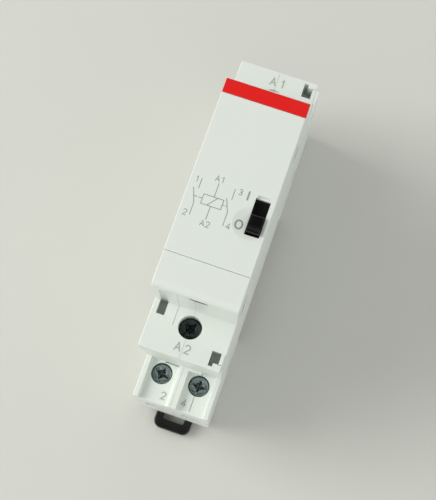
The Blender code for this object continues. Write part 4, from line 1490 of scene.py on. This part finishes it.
@dataclass(frozen=True)
class Lamp:
    """A soft box: where it stands and its size, both in metres, its power in watts and its colour."""

    name: str
    place: tuple[float, float, float]
    size: float
    power: float
    colour: str = "FFFFFF"

    def hang(self, target: Vector) -> None:
        """Adds the lamp.

        Args:
            target: the point that it faces, in metres.
        """
        data = bpy.data.lights.new(self.name, "AREA")
        data.shape = "SQUARE"
        data.size = self.size
        data.energy = self.power
        data.color = linear(self.colour)[:3]
        obj = bpy.data.objects.new(self.name, data)
        obj.location = Vector(self.place)
        obj.rotation_euler = (target - obj.location).to_track_quat("-Z", "Y").to_euler()
        bpy.context.scene.collection.objects.link(obj)


@dataclass
class Studio:
    """Plain pale floor, soft light, a dark card over the camera, and the camera.

    Lengths without mm in their name are in metres.
    """

    env: Envelope
    camera_mm: tuple[float, float, float] = (14.80, -54.44, 240.00)
    tilt: tuple[float, float, float] = (0.22925, 0.07552, 0.34076)
    lens_mm: float = 69.95
    ambient: float = 0.84
    floor_half: float = 1.6
    flat_half: float = 0.9
    rise: float = 0.35
    card_size: float = 0.26
    card_place: tuple[float, float, float] = (-0.02, 0.03, 0.31)
    look_at: tuple[float, float, float] = (0.0, 0.0, 0.03)
    key: Lamp = Lamp("key", (-1.05, -0.12, 0.82), 0.8, 10.5, "FFFDF8")

    def floor(self) -> None:
        """A paper sweep, flat under the device and rising far away on every side."""
        bm = bmesh.new()
        bmesh.ops.create_grid(bm, x_segments=40, y_segments=40, size=self.floor_half)
        for vert in bm.verts:
            far = max(0.0, vert.co.length - self.flat_half)
            vert.co.z = self.rise * far * far
        mesh = bpy.data.meshes.new("floor")
        bm.to_mesh(mesh)
        bm.free()
        mesh.shade_smooth()
        mesh.materials.append(PAPER.material())
        obj = bpy.data.objects.new("floor", mesh)
        obj.location.z = (self.env.rest_z - 0.01) * MM
        bpy.context.scene.collection.objects.link(obj)

    def world(self) -> None:
        """Even pale surroundings."""
        world = bpy.data.worlds.new("studio")
        world.use_nodes = True
        back = world.node_tree.nodes["Background"]
        back.inputs["Color"].default_value = linear("F4F6F4")
        back.inputs["Strength"].default_value = self.ambient
        bpy.context.scene.world = world
        bpy.context.scene.view_settings.view_transform = "Standard"

    def dark_card(self) -> None:
        """A matt black card over the camera: glossy parts mirror it, so that metal and black gain contrast."""
        bm = bmesh.new()
        bmesh.ops.create_grid(bm, x_segments=8, y_segments=8, size=self.card_size / 2)
        mesh = bpy.data.meshes.new("dark_card")
        bm.to_mesh(mesh)
        bm.free()
        mesh.materials.append(CARD.material())
        obj = bpy.data.objects.new("dark_card", mesh)
        obj.location = self.card_place
        bpy.context.scene.collection.objects.link(obj)

    def camera(self) -> None:
        """The camera, above the lower end and looking down at the front."""
        data = bpy.data.cameras.new("camera")
        data.lens = self.lens_mm
        data.sensor_width = 36.0
        data.shift_y = 0.0013
        data.clip_start = 0.01
        data.clip_end = 20.0
        obj = bpy.data.objects.new("camera", data)
        about_x, about_y, about_z = self.tilt
        turn = Matrix.Rotation(about_y, 4, "Y") @ Matrix.Rotation(about_x, 4, "X")
        turn = turn @ Matrix.Rotation(about_z, 4, "Z")
        obj.matrix_world = Matrix.Translation(Vector(self.camera_mm) * MM) @ turn
        bpy.context.scene.collection.objects.link(obj)
        bpy.context.scene.camera = obj

    def build(self) -> None:
        """Sets up floor, surroundings, card, camera and lamps."""
        self.floor()
        self.world()
        self.dark_card()
        self.camera()
        self.key.hang(Vector(self.look_at))


def main() -> None:
    """Builds every piece in order."""
    logging.basicConfig(level=logging.INFO, format="%(message)s")
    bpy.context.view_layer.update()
    env = Envelope.of_frame()
    studio = Studio(env)
    studio.build()
    for side in Side:
        HousingShell(env, side).build()
    nose = Nose(env)
    nose.cover()
    nose.foot()
    nose.header()
    Slider(env).build()
    for label, turn in (("1", 40.0), ("2", 73.0), ("3", 12.0), ("4", 86.0)):
        TerminalScrew(label, turn).build()
    for label, turn in (("A1", 25.0), ("A2", -32.0)):
        TerminalScrew(label, turn, length=8.3, rise=1.6).build()
    Latch().build()
    ArmatureSpring().build()
    Markings(env, nose).build()
    for group in WORKS:
        group.dress()


if __name__ == "__main__":
    main()
